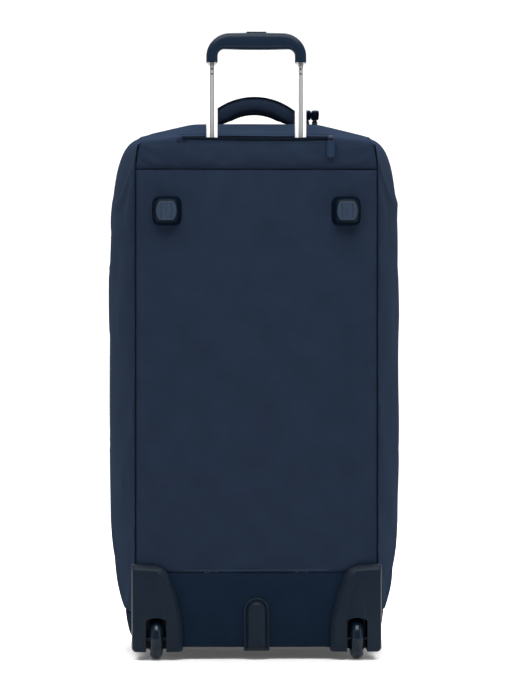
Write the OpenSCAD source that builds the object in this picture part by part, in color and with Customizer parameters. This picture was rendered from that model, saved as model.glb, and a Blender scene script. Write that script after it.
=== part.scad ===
// Rolling duffel bag, standing on two wheels and two front feet.
// Every module is drawn with the back panel's plane at y = 0 and the floor at z = 0.
// in_frame() then moves it so that the middle of the whole depth is at y = 0.

/* [Body] */
// Width of the flat back panel
back_w = 346; // [330:1:360]
// Width of the body at its fullest
belly_w = 428; // [410:1:440]
// Height of the top of the body above the floor
body_h = 777; // [760:1:790]
// Depth from the back panel to the edge of the front panel
body_d = 320; // [310:1:330]
// Height of the flat base above the floor
base_z = 18; // [16:1:20]
// Thickness of the padded fabric walls
wall = 5; // [4:0.5:6]
// Distance of the main zip behind which the body opens, from the back panel
zip_y = 210; // [200:1:220]

/* [Wheels] */
// Radius of a wheel
wheel_r = 30; // [28:0.5:30]
// Width of a wheel
wheel_w = 19; // [17:0.5:20]
// Distance of a wheel from the middle of the bag
wheel_x = 143.5; // [142:0.5:145]
// Radius of a wheel's axle
axle_r = 3; // [2.5:0.1:3.5]

/* [Telescopic handle] */
// Distance between the centres of the two tubes
tube_gap = 127.3; // [125:0.1:130]
// Width and depth of the inner tube
inner_tube = [16.3, 13];
// Wall of the tubes
tube_wall = 1; // [0.8:0.1:1.1]
// Height of the bottom of the grip's legs, with the inner stage drawn out
grip_z = 857; // [850:1:860]

/* [Haul handle] */
// Mean radius of the haul handle's arch
haul_r = 82.7; // [80:0.1:86]
// Height of the haul handle's section
haul_t = 26.6; // [22:0.2:28]

/* [Hidden] */

$fn = 48;
depth_middle = 157;      // middle of the depth, from the wheels' backs to the carry handles
gap = 0.4;               // space between neighbouring sewn pieces
navy = [0.14, 0.18, 0.25];
dark_navy = [0.09, 0.12, 0.17];
plastic_navy = [0.10, 0.14, 0.19];
board_grey = [0.30, 0.31, 0.33];
bright = [0.85, 0.86, 0.88];
steel = [0.62, 0.63, 0.65];
lining_blue = [0.35, 0.40, 0.47];

tube_x = tube_gap / 2;
tube_y = 20;             // centre of the tubes behind the back panel
stage_gap = 0.4;         // clearance between two telescoping tubes
middle_tube = inner_tube + [1, 1] * 2 * (stage_gap + tube_wall);
outer_tube = middle_tube + [1, 1] * 2 * (stage_gap + tube_wall);
wheel_y = wheel_r - 24;  // the wheels stand 24 mm behind the back panel
yoke_z = 701;            // seam between back panel and yoke
kick_z = 124.5;          // seam between back panel and kick panel
ledge_z = body_h - 29;   // the ledge that the telescopic handle comes out of
slit_d = 34;             // front edge of the opening in that ledge
lid_low = 64;            // lower edge of the front panel
front_y = body_d;
crown = 8;               // how far the front panel swells in its middle
half_back = back_w / 2;
half_belly = belly_w / 2;

// ---------- the sewn shell ----------
// Half outlines seen from behind, as [x, z], from the middle of the base to the middle of the top.
back_outline = [
    [0, base_z], [80, base_z], [150, base_z], [half_back - 5, base_z + 6], [half_back - 1, 64],
    [half_back, 150], [half_back, 363], [half_back, 600], [half_back, 690], [half_back - 2, 725],
    [half_back - 7, ledge_z - 6], [95, ledge_z], [0, ledge_z]
];
belly_outline = [
    [0, base_z], [80, base_z], [150, base_z], [half_belly - 32, base_z + 8], [half_belly - 23, 62],
    [half_belly - 7.5, 150], [half_belly, 363], [half_belly - 2, 610], [half_belly - 9.5, 700],
    [half_belly - 24, body_h - 37], [half_belly - 48, body_h - 20], [95, body_h], [0, body_h]
];
front_outline = [
    [0, lid_low], [70, lid_low], [125, lid_low], [144, lid_low + 3], [152, lid_low + 14],
    [158, 150], [160, 363], [158, 590], [150, 655], [130, 690], [110, 701], [60, 705], [0, 706]
];
last = len(back_outline) - 1;   // index of the outlines' top point
corner_u = 4;                   // where the side panels start, along the outlines
seam_u = 10;                    // where the side panels end and the top panel starts

function outline_key(o, i) =
    i < 0 ? [-o[-i][0], o[-i][1]] : i > last ? [-o[2 * last - i][0], o[2 * last - i][1]] : o[i];
// Harmonic mean of two steps, or 0 where they turn back, so that a curve never overshoots a point.
function limited(a, b) = a * b > 0 ? 2 * a * b / (a + b) : 0;
function tangent(o, i) =
    let (before = outline_key(o, i) - outline_key(o, i - 1), after = outline_key(o, i + 1) - outline_key(o, i))
    [limited(before[0], after[0]), limited(before[1], after[1])];
function on_half(o, u) =
    let (i = min(floor(u), last - 1), t = u - i, a = o[i], b = o[i + 1])
    a * (2 * pow(t, 3) - 3 * t * t + 1) + tangent(o, i) * (pow(t, 3) - 2 * t * t + t)
    + b * (3 * t * t - 2 * pow(t, 3)) + tangent(o, i + 1) * (pow(t, 3) - t * t);
// A point of a whole outline: u is 0 at the base's middle, last at the top, and runs to the left.
function on_outline(o, u) =
    u < 0 ? let (p = on_half(o, -u)) [-p[0], p[1]]
    : u > last ? let (p = on_half(o, 2 * last - u)) [-p[0], p[1]]
    : on_half(o, u);

function smooth(t) = let (s = max(0, min(1, t))) s * s * (3 - 2 * s);
function back_share(y) = 1 - sin(90 * min(y, 150) / 150);
function ledge_share(y) = 1 - smooth((y - 5) / 115);
function front_share(y) =
    let (s = max(0, min(1, (y - 150) / (body_d - 150)))) 1 - pow(1 - pow(s, 2.6), 1 / 2.6);
// A point of the shell's outer surface, u along the outline and y deep.
function shell(u, y) =
    let (b = on_outline(back_outline, u), w = on_outline(belly_outline, u),
         f = on_outline(front_outline, u), c = front_share(y))
    [w[0] + (b[0] - w[0]) * back_share(y) + (f[0] - w[0]) * c,
     y,
     w[1] + (b[1] - w[1]) * ledge_share(y) + (f[1] - w[1]) * c];
function shell_normal(u, y) =
    let (e = 0.02, d = y > body_d - e ? -e : e,
         n = cross((shell(u, y + d) - shell(u, y)) / d, shell(u + e, y) - shell(u - e, y)))
    n / norm(n);
function raised(u, y, h) = shell(u, y) + shell_normal(u, y) * h;
function steps(a, b, n) = [for (i = [0 : n]) a + (b - a) * i / n];

// A closed sheet between two grids of points. Cells for which hole(i, j) is true are left out.
module sheet_solid(outer, inner, hole = function (i, j) false) {
    rows = len(outer);
    cols = len(outer[0]);
    there = function (i, j) i >= 0 && j >= 0 && i < rows - 1 && j < cols - 1 && !hole(i, j);
    at = function (i, j) i * cols + j;
    back = rows * cols;
    quad = function (a, b, c, d) [[a, b, c], [a, c, d]];
    cells = [for (i = [0 : rows - 2], j = [0 : cols - 2]) if (there(i, j)) [i, j]];
    faces = [
        for (c = cells) let (i = c[0], j = c[1], p = at(i, j), q = at(i + 1, j),
                             r = at(i + 1, j + 1), s = at(i, j + 1))
            each concat(
                quad(p, q, r, s), quad(s + back, r + back, q + back, p + back),
                there(i, j - 1) ? [] : quad(p, p + back, q + back, q),
                there(i + 1, j) ? [] : quad(q, q + back, r + back, r),
                there(i, j + 1) ? [] : quad(r, r + back, s + back, s),
                there(i - 1, j) ? [] : quad(s, s + back, p + back, p))
    ];
    polyhedron(points = concat([for (row = outer) each row], [for (row = inner) each row]),
               faces = faces, convexity = 8);
}

// Part of the shell, wall thick, between the stations us along the outline and ys in depth.
module shell_sheet(us, ys, thick = wall, lift = 0, hole = function (i, j) false)
    sheet_solid([for (u = us) [for (y = ys) raised(u, y, lift)]],
                [for (u = us) [for (y = ys) raised(u, y, lift - thick)]], hole);

module in_frame() translate([0, -depth_middle, 0]) children();
module both_sides() { children(); mirror([1, 0, 0]) children(); }

// A flat panel in the back plane: rows of the back outline from u = a to u = b, bulging backwards.
module back_sheet(a, b, bulge, n) {
    rows = [for (u = steps(a, b, n)) on_outline(back_outline, u)];
    low = rows[0][1];
    high = rows[n][1];
    xs = steps(-1, 1, 16);
    out = function (z) 1 + bulge * sin(180 * (z - low) / (high - low) * 0.93);
    sheet_solid([for (p = rows) [for (f = xs) [-f * (p[0] - gap), -out(p[1]), p[1]]]],
                [for (p = rows) [for (f = xs) [-f * (p[0] - gap), wall - gap, p[1]]]]);
}

module rounded_plate(w, h, r)
    union() {
        square([w - 2 * r, h], center = true);
        square([w, h - 2 * r], center = true);
        for (x = [-1, 1], z = [-1, 1]) translate([x * (w / 2 - r), z * (h / 2 - r)]) circle(r);
    }
// Turns a drawing in x and z into a plate from y = a to y = b.
module plate_y(a, b) translate([0, b, 0]) rotate([90, 0, 0]) linear_extrude(b - a) children();

well_x = [wheel_x - 20.5, wheel_x + 19.5];   // outside of a wheel well
well_y = 44;
well_z = 72;
module well_notch() both_sides()
    translate([well_x[0] - 1, -50, 0]) cube([well_x[1] - well_x[0] + 2, 50 + well_y + 1, well_z + 1]);

module back_panel() color(navy)
    plate_y(-1, wall - gap) translate([0, (yoke_z + kick_z) / 2])
        rounded_plate(back_w - 1, yoke_z - kick_z - gap, 2);
module yoke_panel() color(navy) back_sheet(8.25, 11, 5, 8);
module kick_panel() color(navy) difference() {
    plate_y(-1, wall - gap) union() {
        translate([0, (kick_z + 62) / 2]) square([back_w - 2, kick_z - 62 - gap], center = true);
        translate([0, 60]) rounded_plate(back_w - 4, 2 * (60 - base_z) - gap, 12);
    }
    well_notch();
}
side_ys = concat([wall + gap], [15, 30, 50, 75, 100, 130, 160, 185], [zip_y - gap]);
module side_panel() color(navy)
    shell_sheet(steps(corner_u + 0.02, seam_u - 0.02, 20), side_ys);
module top_panel() color(navy) {
    us = concat([seam_u + 0.02, 10.4, 10.8], steps(11, 13, 8), [13.2, 13.6, 2 * last - seam_u - 0.02]);
    ys = [wall + gap, 18, slit_d, 45, 60, 75, 90, 105, 120, 150, 180, zip_y - gap];
    shell_sheet(us, ys, hole = function (i, j) i > 1 && i < len(us) - 3 && j < 2);
}
module bottom_panel() color(navy) {
    low_us = [2.8, 3.2, 3.6, corner_u - 0.02];
    mid_us = steps(-1.5, 1.5, 8);
    us = concat([for (i = [3 : -1 : 0]) -low_us[i]], mid_us, low_us);
    ys = [wall + gap, 20, 33, well_y + 2, 70, 100, 150, 200, 235, 260, 280, 295, 306, 313, 317.5,
          body_d];
    shell_sheet(us, ys, hole = function (i, j) (i == 3 || i == len(us) - 5) && j < 3);
}

// ---------- stiffeners inside the body ----------
module back_board() color(board_grey)
    plate_y(wall + gap, wall + gap + 2.4) translate([0, 410]) rounded_plate(2 * 160, 2 * 270, 8);
module lining_board() color(lining_blue) difference() {
    plate_y(35.2, 36.8) translate([0, 380]) rounded_plate(2 * 158, 2 * 350, 8);
    well_notch();
}
module bottom_board() color(board_grey) difference() {
    translate([0, 0, base_z + wall + 3.4]) linear_extrude(2.4)
        translate([0, 122.5]) rounded_plate(2 * 140, 2 * 82.5, 10);
    well_notch();
}
module packing_straps() color(dark_navy)
    for (z = [255, 520]) {
        plate_y(37, 38.4) translate([0, z]) square([300, 25], center = true);
        plate_y(38.5, 43) translate([0, z]) rounded_plate(52, 32, 5);
    }

// ---------- telescopic handle ----------
// Outline of a telescoping tube: a rounded bar, with a groove down its back face if one is asked for.
groove_w = 6;
module tube_outline(size, groove = 0) difference() {
    rounded_plate(size[0], size[1], 4);
    if (groove > 0) translate([0, -size[1] / 2]) square([groove, 2.4], center = true);
}
module tube(size, low, high, groove = 0)
    translate([tube_x, tube_y, low]) linear_extrude(high - low) difference() {
        tube_outline(size, groove);
        tube_outline(size - [1, 1] * 2 * tube_wall, groove > 0 ? groove + 2 * tube_wall : 0);
    }
middle_top = 703.5;
inner_top = grip_z - gap;
inner_low = 311;
pin_heights = [839, 846];   // the pins that hold the grip's legs in the tubes
lock_z = 330;
module outer_tube_part() color(steel) tube(outer_tube, 72, 698);
module middle_tube_part() color(bright) tube(middle_tube, 150, middle_top);
module inner_tube_part() color(bright) difference() {
    tube(inner_tube, inner_low, inner_top, groove_w);
    for (z = pin_heights) translate([tube_x, tube_y, z]) rotate([90, 0, 0]) cylinder(r = 1.25, h = 20);
    translate([tube_x, tube_y, lock_z]) rotate([-90, 0, 0]) cylinder(r = 2.1, h = 20);
}
module handle_bezel() color(plastic_navy) difference() {
    translate([-79, wall + 0.6, 698.4]) cube([158, 29, 46.6]);
    translate([-76, 7, 701.5]) cube([152, 26, 60]);
    both_sides() translate([tube_x, tube_y, 690]) linear_extrude(20)
        rounded_plate(middle_tube[0] + 0.8, middle_tube[1] + 0.8, 4);
}
module tube_foot_bracket() color(plastic_navy) difference() {
    translate([-86, 9, 56]) cube([172, 22, 15.6]);
    for (x = [-76, -30, 30, 76]) translate([x, 20, 50]) cylinder(r = 2.2, h = 30);
}
// Counts: four screws through the foot bracket, two under each wheel housing.
module screw(head_r, shank_r, length) {
    cylinder(r = head_r, h = 2.2);
    translate([0, 0, 2.2]) cylinder(r = shank_r, h = length);
}
housing_screw_y = [30, 54];
module frame_screws() color(steel) {
    for (x = [-76, -30, 30, 76]) translate([x, 20, 53.6]) screw(3.6, 2, 15.6);
    for (y = housing_screw_y) both_sides() translate([114, y, 11.7]) screw(3.4, 1.8, 4);
}
leg_w = 16.8;             // width of the grip's legs
bar_low = grip_z + 17.2;  // under side and top of the grip's bar
bar_high = grip_z + 40.4;
grip_d = 24;
module arch(half, low, high, r) {
    translate([-half, low]) square([2 * half, high - r - low]);
    translate([r - half, low]) square([2 * (half - r), high - low]);
    for (x = [-1, 1]) translate([x * (half - r), high - r]) circle(r);
}
// The grip seen from behind, drawn in by d all round but for the ends of its legs.
module grip_outline(d) difference() {
    arch(tube_x + leg_w / 2 - d, grip_z, bar_high - d, 33 - d);
    arch(tube_x - leg_w / 2 + d, grip_z - 1, bar_low + d, 10 + d);
    translate([-100, grip_z - 60]) square([200, 60]);
}
module grip_solid() {
    plate_y(tube_y - grip_d / 2, tube_y + grip_d / 2) grip_outline(3);
    plate_y(tube_y - grip_d / 2 + 1, tube_y + grip_d / 2 - 1) grip_outline(1.2);
    plate_y(tube_y - grip_d / 2 + 3, tube_y + grip_d / 2 - 3) grip_outline(0);
}
spigot = inner_tube - [1, 1] * (2 * tube_wall + 0.2);
module grip_body() color(plastic_navy) difference() {
    union() {
        grip_solid();
        both_sides() translate([tube_x, tube_y, grip_z - 45]) linear_extrude(46)
            tube_outline(spigot, groove_w + 2 * tube_wall + 0.4);
    }
    translate([-62.3, tube_y - 2.6, 881.2]) cube([124.6, 5.2, 6.2]);
    translate([-14.6, tube_y - 7.4, 887.3]) cube([29.2, 14.8, 20]);
    translate([0, tube_y, 876.4]) cylinder(r = 4, h = 8);
    both_sides() translate([rod_x, tube_y, 800]) cylinder(r = 1.8, h = 84);
    both_sides() for (z = pin_heights)
        translate([tube_x, 11, z]) rotate([-90, 0, 0]) cylinder(r = 1.25, h = 7);
}
rod_x = 60.8;
module grip_pins() color(steel) both_sides() for (z = pin_heights)
    translate([tube_x, tube_y - inner_tube[1] / 2 + 0.6, z]) rotate([-90, 0, 0]) cylinder(r = 1.2, h = 3.4);
module release_button() color(plastic_navy) {
    translate([-14.2, tube_y - 7, 890.6]) cube([28.4, 14, 8.9]);
    translate([-8, tube_y - 2, 886.9]) cube([16, 4, 3.8]);
}
module push_rods() color(steel) {
    translate([-rod_x - 1.4, tube_y - 2, 884.5]) cube([2 * rod_x + 2.8, 4, 2.4]);
    both_sides() translate([rod_x, tube_y, lock_z + 17]) cylinder(r = 1.4, h = 884.6 - lock_z - 17);
}
// Helix of the button's return spring, as a tube of eight sides.
spring_r = 3;
spring_wire = 0.4;
spring_turns = 5;
module button_spring() color(steel) {
    n = 12 * spring_turns;
    low = 876.9;
    rise = 884.5 - spring_wire - 0.05 - low;
    ring = function (k) [for (s = [0 : 7]) let (a = k * 30, c = s * 45)
        [(spring_r + spring_wire * cos(c)) * cos(a), tube_y + (spring_r + spring_wire * cos(c)) * sin(a),
         low + rise * k / n + spring_wire * sin(c)]];
    polyhedron(
        points = [for (k = [0 : n]) each ring(k)],
        faces = concat(
            [[for (s = [0 : 7]) s]], [[for (s = [7 : -1 : 0]) n * 8 + s]],
            [for (k = [0 : n - 1], s = [0 : 7]) let (a = k * 8 + s, b = k * 8 + (s + 1) % 8)
                each [[a, a + 8, b + 8], [a, b + 8, b]]]),
        convexity = 10);
}
module lock_plugs() color(dark_navy) both_sides() difference() {
    translate([tube_x, tube_y, inner_low + 1]) linear_extrude(34)
        tube_outline(spigot, groove_w + 2 * tube_wall + 0.4);
    translate([tube_x, tube_y - 3, lock_z]) rotate([-90, 0, 0]) cylinder(r = 2.1, h = 20);
    translate([rod_x, tube_y, lock_z + 10]) cylinder(r = 1.8, h = 30);
}
lock_tip = tube_y + inner_tube[1] / 2 + 0.3;
module lock_pins() color(steel) both_sides()
    translate([tube_x, tube_y - 1, lock_z]) rotate([-90, 0, 0]) cylinder(r = 2, h = lock_tip - tube_y + 1);

// ---------- wheels ----------
module along_x(x) translate([x, wheel_y, wheel_r]) rotate([0, 90, 0]) children();
tyre_in = 21;
bearing_r = 8.5;
seat_gap = 0.02;
module tyre() color(dark_navy) along_x(wheel_x) rotate_extrude($fn = 96) difference() {
    union() {
        translate([wheel_r - wheel_w / 2, 0]) circle(wheel_w / 2);
        translate([tyre_in, -wheel_w / 2]) square([wheel_r - wheel_w / 2 - tyre_in, wheel_w]);
    }
    translate([0, -wheel_w]) square([tyre_in, 2 * wheel_w]);
}
module wheel_hub() color(plastic_navy) along_x(wheel_x) difference() {
    rotate_extrude($fn = 96) translate([0, -wheel_w / 2 + 0.6])
        square([tyre_in - seat_gap, wheel_w - 1.2]);
    for (s = [-1, 1]) translate([0, 0, s * (wheel_w / 2) - (s > 0 ? 5 : 0)]) cylinder(r = bearing_r, h = 5);
    for (s = [-1, 1]) translate([0, 0, s * (wheel_w / 2) - (s > 0 ? 2.4 : 0)])
        rotate_extrude() translate([11, 0]) square([7.5, 2.4]);
    translate([0, 0, -20]) cylinder(r = 5, h = 40);
}
module bearing() {
    rotate_extrude() translate([6.9, 0]) square([bearing_r - seat_gap - 6.9, 4]);
    rotate_extrude() translate([axle_r + 0.05, 0]) square([1.6, 4]);
    for (k = [0 : 6]) rotate([0, 0, k * 360 / 7]) translate([5.775, 0, 2]) sphere(r = 1.1);
}
module wheel_bearings() color(steel) for (s = [-wheel_w / 2 + 0.7, wheel_w / 2 - 4.7])
    along_x(wheel_x) translate([0, 0, s]) bearing();
axle_heads = [-19.6, 17.3];   // where an axle's two heads start, from the wheel's middle
module wheel_axles() color(steel) both_sides() along_x(wheel_x) {
    translate([0, 0, axle_heads[0]]) cylinder(r = axle_r, h = axle_heads[1] - axle_heads[0]);
    for (z = axle_heads) translate([0, 0, z]) cylinder(r = 5, h = 2);
}
housing_x = [105.5, 178.5];
housing_size = [70, 62];    // a wheel housing, across and deep
housing_low = 11.5;
housing_high = 137;
module housing_face(x0, x1, z0, z1, taper)
    polygon([[x1 - 6, z0], [x1, z0 + 8], [x1, z1 - 1], [x0 + 31 - taper, z1 - 5],
             [x0 + 21 - taper, z1 - 11], [x0 + 15 - taper, z1 - 22], [x0, z0 + 44], [x0, z0 + 4],
             [x0 + 4, z0]]);
module wheel_housing() color(plastic_navy) difference() {
    union() {
        plate_y(-8, -1.2) housing_face(housing_x[0], housing_x[1], housing_low, housing_high, 0);
        plate_y(-14, -7.9)
            housing_face(housing_x[0] + 6, housing_x[1] - 1.5, housing_low + 1, housing_high - 7, 0);
        translate([housing_x[0], -1.3, housing_low]) cube([housing_size[0], housing_size[1], base_z - housing_low - 0.6]);
        translate([well_x[0], -1.3, housing_low]) cube([well_x[1] - well_x[0], well_y + 1.3, well_z - housing_low]);
    }
    translate([wheel_x - 14.5, wheel_y, wheel_r]) rotate([0, 90, 0]) cylinder(r = wheel_r + 3.5, h = 29);
    translate([wheel_x - 14.5, -30, -1]) cube([29, 30 + wheel_y + wheel_r + 3.5, wheel_r + 1]);
    translate([wheel_x - 14.5, -30, 0]) cube([29, 36, 59]);
    translate([wheel_x, 6, 59 - 28.5]) rotate([90, 0, 0]) intersection() {
        cylinder(r = 32, h = 40);
        translate([-14.5, 0, 0]) cube([29, 60, 40]);
    }
    along_x(wheel_x) translate([0, 0, -30]) cylinder(r = axle_r, h = 60);
    for (s = [axle_heads[0] - 40, axle_heads[1] - 0.1])
        along_x(wheel_x) translate([0, 0, s]) cylinder(r = 5.2, h = 42.1);
    for (y = housing_screw_y) translate([114, y, 5]) {
        cylinder(r = 3.6, h = 8.9);
        cylinder(r = 1.9, h = 30);
    }
}

// ---------- moulded feet and skid ----------
skid_w = 37;
module stadium(w, low, high) union() {
    translate([0, high - w / 2]) circle(w / 2);
    translate([-w / 2, low]) square([w, high - w / 2 - low]);
}
module centre_skid() color(plastic_navy) {
    plate_y(-4.4, -1.2) stadium(skid_w, 15, 89);
    plate_y(-12, -4.3) stadium(26.5, 13, 83);
    translate([-skid_w / 2, -4.4, 12.5]) cube([skid_w, 60, 4.8]);
}
foot_x = 128;
foot_z = 641.5;
module back_foot() translate([foot_x, 0, foot_z]) {
    plate_y(-4.2, -1.2) rounded_plate(42, 42, 10);
    plate_y(-12, -4.2) rounded_plate(38, 38, 10);
    plate_y(-21.4, -12) rounded_plate(32, 31, 9);
}
module back_feet() color(plastic_navy) both_sides() back_foot();
module foot_pads() color(board_grey) both_sides()
    plate_y(-23, -21.6) translate([foot_x, foot_z]) union() {
        square([21, 26], center = true);
        intersection() {
            circle(14.6);
            square([29.2, 22], center = true);
        }
    }
front_foot = [118, 196];
module front_feet() color(plastic_navy) both_sides() translate(front_foot) {
    cylinder(r = 17, h = 12);
    translate([0, 0, 11.9]) cylinder(r = 20, h = 5.9);
}

// ---------- soft handles ----------
haul_y = 150;
haul_z = body_h - 57;
module haul_handle() color(navy) intersection() {
    translate([0, haul_y, haul_z]) rotate([90, 0, 0]) rotate_extrude($fn = 120)
        translate([haul_r, 0]) rounded_plate(haul_t, 28, 9);
    translate([-150, 0, body_h + 0.3]) cube([300, 300, 100]);
}
carry_x = 72;             // fold line of the carry handles
carry_z = [290, 470];     // ends of a carry handle
module carry_handle() color(navy)
    plate_y(331, 338) translate([carry_x, (carry_z[0] + carry_z[1]) / 2]) difference() {
        intersection() {
            rounded_plate(2 * 64, carry_z[1] - carry_z[0] + 24, 34);
            translate([0, -200]) square([100, 400]);
        }
        rounded_plate(2 * 40, carry_z[1] - carry_z[0] - 24, 16);
    }
module carry_handle_anchors() color(dark_navy) both_sides() for (z = carry_z)
    plate_y(front_y + crown + 0.2, 330.6) translate([carry_x - 8, z]) rounded_plate(36, 30, 3);

// ---------- zips ----------
zip_us = steps(corner_u + 0.15, 2 * last - corner_u - 0.15, 56);
tape_w = 12;
// side -1 is the body's half of the zip, side 1 the lid's half.
module zip_half(side) {
    ys = [for (d = [gap, 2.6, 2.9, tape_w]) zip_y + side * d];
    lifts = [2.6, 2.6, 1.3, 1.3];
    order = side < 0 ? [3, 2, 1, 0] : [0, 1, 2, 3];
    sheet_solid([for (u = zip_us) [for (k = order) raised(u, ys[k], lifts[k])]],
                [for (u = zip_us) [for (k = order) raised(u, ys[k], 0.4)]]);
}
module main_zip_tape() color(dark_navy) zip_half(-1);
module lid_zip_tape() color(dark_navy) zip_half(1);
module zip_end_tabs() color(dark_navy) both_sides()
    shell_sheet([corner_u + 0.02, corner_u + 0.07, corner_u + 0.13], [zip_y - 13, zip_y - 6, zip_y - gap],
                thick = 3.4, lift = 3.6);
module handle_zip_tape() color(dark_navy) {
    translate([-110, -1, ledge_z + 0.6]) cube([220, 8, 1.2]);
    translate([-110, 5.4, ledge_z + 1.7]) cube([220, 1.6, 1.2]);
    shell_sheet([10.85, 11, 12, 13, 13.15], [33.4, 36, 44], thick = 1.2, lift = 1.4);
}
slider_size = [9, 11, 5];
// A slider lying on a zip that runs along x: its body, and the bridge that holds the puller.
module slider_body(step = 0) {
    translate([-slider_size[0] / 2, -slider_size[1] / 2, 0]) cube([slider_size[0], slider_size[1] / 2, 3]);
    translate([-slider_size[0] / 2, -0.1, step]) cube([slider_size[0], slider_size[1] / 2, 3 - step]);
    translate([-4.2, -1.5, 2.9]) cube([1.2, 3, 4]);
    translate([3, -1.5, 2.9]) cube([1.2, 3, 4]);
    translate([-4.2, 0, 6]) rotate([0, 90, 0]) cylinder(r = 1.2, h = 8.4);
}
// A puller whose eye is on the x axis and whose tab hangs towards -z.
puller_len = 28;
puller_w = 11.4;
module puller_tab() {
    difference() {
        union() {
            rotate([0, 90, 0]) translate([0, 0, -2.7]) cylinder(r = 2.6, h = 5.4);
            translate([-2.7, -1, -8]) cube([5.4, 2, 8]);
        }
        rotate([0, 90, 0]) translate([0, 0, -5]) cylinder(r = 1.3, h = 10);
    }
    plate_y(-1.6, 1.6) translate([0, -(6 + puller_len) / 2]) rounded_plate(puller_w, puller_len - 6, 4);
}
main_slider_x = [79.5, 91.5];
main_slider_z = shell(last, zip_y)[2] + 3.1;
main_pivot = [0, zip_y - 1, main_slider_z + 6];
main_puller_lean = -120;   // the pullers stand up and lean back
module main_slider(x) color(steel) translate([x, zip_y - 1, main_slider_z]) slider_body(1.4);
module main_puller(x) color(plastic_navy) translate(main_pivot + [x, 0, 0])
    rotate([main_puller_lean, 0, 0]) puller_tab();
// The slider of the handle's zip lies on the yoke's top edge, which leans forwards a little.
handle_slider_at = [106, -3.6, ledge_z - 4];
handle_slider_lean = 75;
handle_pivot = handle_slider_at + 6 * [0, -sin(handle_slider_lean), cos(handle_slider_lean)];
module handle_slider() color(steel) translate(handle_slider_at)
    rotate([handle_slider_lean, 0, 0]) slider_body();
module handle_puller() color(plastic_navy) translate(handle_pivot) rotate([-4, 0, 0]) puller_tab();
pocket_slider_x = 88;
pocket_zip_z = 658;
module pocket_zip_tape() color(dark_navy) {
    plate_y(front_y + crown + 0.2, front_y + crown + 1.4) translate([0, pocket_zip_z]) square([208, 22], center = true);
    plate_y(front_y + crown + 1.3, front_y + crown + 2.3) translate([0, pocket_zip_z]) square([200, 5], center = true);
}
module pocket_slider() color(steel) translate([pocket_slider_x, front_y + crown + 2.5, pocket_zip_z])
    rotate([-90, 0, 0]) slider_body();
module pocket_puller() color(plastic_navy)
    translate([pocket_slider_x, front_y + crown + 8.5, pocket_zip_z]) intersection() {
        puller_tab();
        translate([-20, -20, -50]) cube([40, 21.5, 60]);
    }

// ---------- the lid ----------
lid_ys = [zip_y + gap, 225, 240, 255, 270, 283, 294, 303, 310, 315, 318.3, body_d];
module lid_gusset() color(navy) shell_sheet(steps(corner_u + 0.02, 2 * last - corner_u - 0.02, 48), lid_ys);
front_us = concat([2], steps(3, 11, 20));
front_mid = (lid_low + 705) / 2;
front_reach = (705 - lid_low) / 2;
function swell(f, z) = crown * (1 - pow(f, 4)) * (1 - pow((z - front_mid) / front_reach, 4));
module front_panel() color(navy) {
    rows = [for (u = front_us) let (p = on_outline(front_outline, u))
        [p[0] - 0.8, front_mid + (p[1] - front_mid) * 0.9945]];
    fs = steps(1, -1, 14);
    sheet_solid([for (p = rows) [for (f = fs) [f * p[0], front_y + swell(f, p[1]), p[1]]]],
                [for (p = rows) [for (f = fs) [f * p[0], front_y - wall + swell(f, p[1]), p[1]]]]);
}
pocket = [[-106, 106], [516, 645]];
module pocket_panel() color(navy) {
    face = front_y + crown;
    rise = function (s, t) 0.8 + 3.2 * (1 - pow(s, 6)) * (1 - pow(t, 6));
    zs = steps(-1, 1, 8);
    xs = steps(1, -1, 12);
    at = function (s, t, y) [s * pocket[0][1], y, (pocket[1][0] + pocket[1][1]) / 2
                             + t * (pocket[1][1] - pocket[1][0]) / 2];
    sheet_solid([for (t = zs) [for (s = xs) at(s, t, face + 0.2 + rise(s, t))]],
                [for (t = zs) [for (s = xs) at(s, t, face + 0.2)]]);
}

in_frame() back_panel();
in_frame() yoke_panel();
in_frame() kick_panel();
in_frame() mirror([1, 0, 0]) side_panel();  // side_panel_left
in_frame() side_panel();  // side_panel_right
in_frame() top_panel();
in_frame() bottom_panel();
in_frame() back_board();
in_frame() lining_board();
in_frame() bottom_board();
in_frame() handle_bezel();
in_frame() mirror([1, 0, 0]) outer_tube_part();  // outer_tube_left
in_frame() outer_tube_part();  // outer_tube_right
in_frame() tube_foot_bracket();
in_frame() frame_screws();
in_frame() mirror([1, 0, 0]) wheel_housing();  // wheel_housing_left
in_frame() wheel_housing();  // wheel_housing_right
in_frame() wheel_axles();
in_frame() centre_skid();
in_frame() front_feet();
in_frame() back_feet();
in_frame() foot_pads();
in_frame() haul_handle();
in_frame() main_zip_tape();
in_frame() zip_end_tabs();
in_frame() handle_zip_tape();
in_frame() packing_straps();
in_frame() lid_gusset();
in_frame() front_panel();
in_frame() lid_zip_tape();
in_frame() pocket_panel();
in_frame() pocket_zip_tape();
in_frame() carry_handle_anchors();
in_frame() mirror([1, 0, 0]) carry_handle();  // carry_handle_left
in_frame() carry_handle();  // carry_handle_right
in_frame() main_slider(main_slider_x[0]);  // main_slider_left
in_frame() main_puller(main_slider_x[0]);  // main_puller_left
in_frame() main_slider(main_slider_x[1]);  // main_slider_right
in_frame() main_puller(main_slider_x[1]);  // main_puller_right
in_frame() handle_slider();
in_frame() handle_puller();
in_frame() pocket_slider();
in_frame() pocket_puller();
in_frame() mirror([1, 0, 0]) middle_tube_part();  // middle_tube_left
in_frame() middle_tube_part();  // middle_tube_right
in_frame() mirror([1, 0, 0]) inner_tube_part();  // inner_tube_left
in_frame() inner_tube_part();  // inner_tube_right
in_frame() lock_plugs();
in_frame() lock_pins();
in_frame() grip_body();
in_frame() grip_pins();
in_frame() release_button();
in_frame() push_rods();
in_frame() button_spring();
in_frame() mirror([1, 0, 0]) tyre();  // tyre_left
in_frame() tyre();  // tyre_right
in_frame() mirror([1, 0, 0]) wheel_hub();  // wheel_hub_left
in_frame() wheel_hub();  // wheel_hub_right
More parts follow.
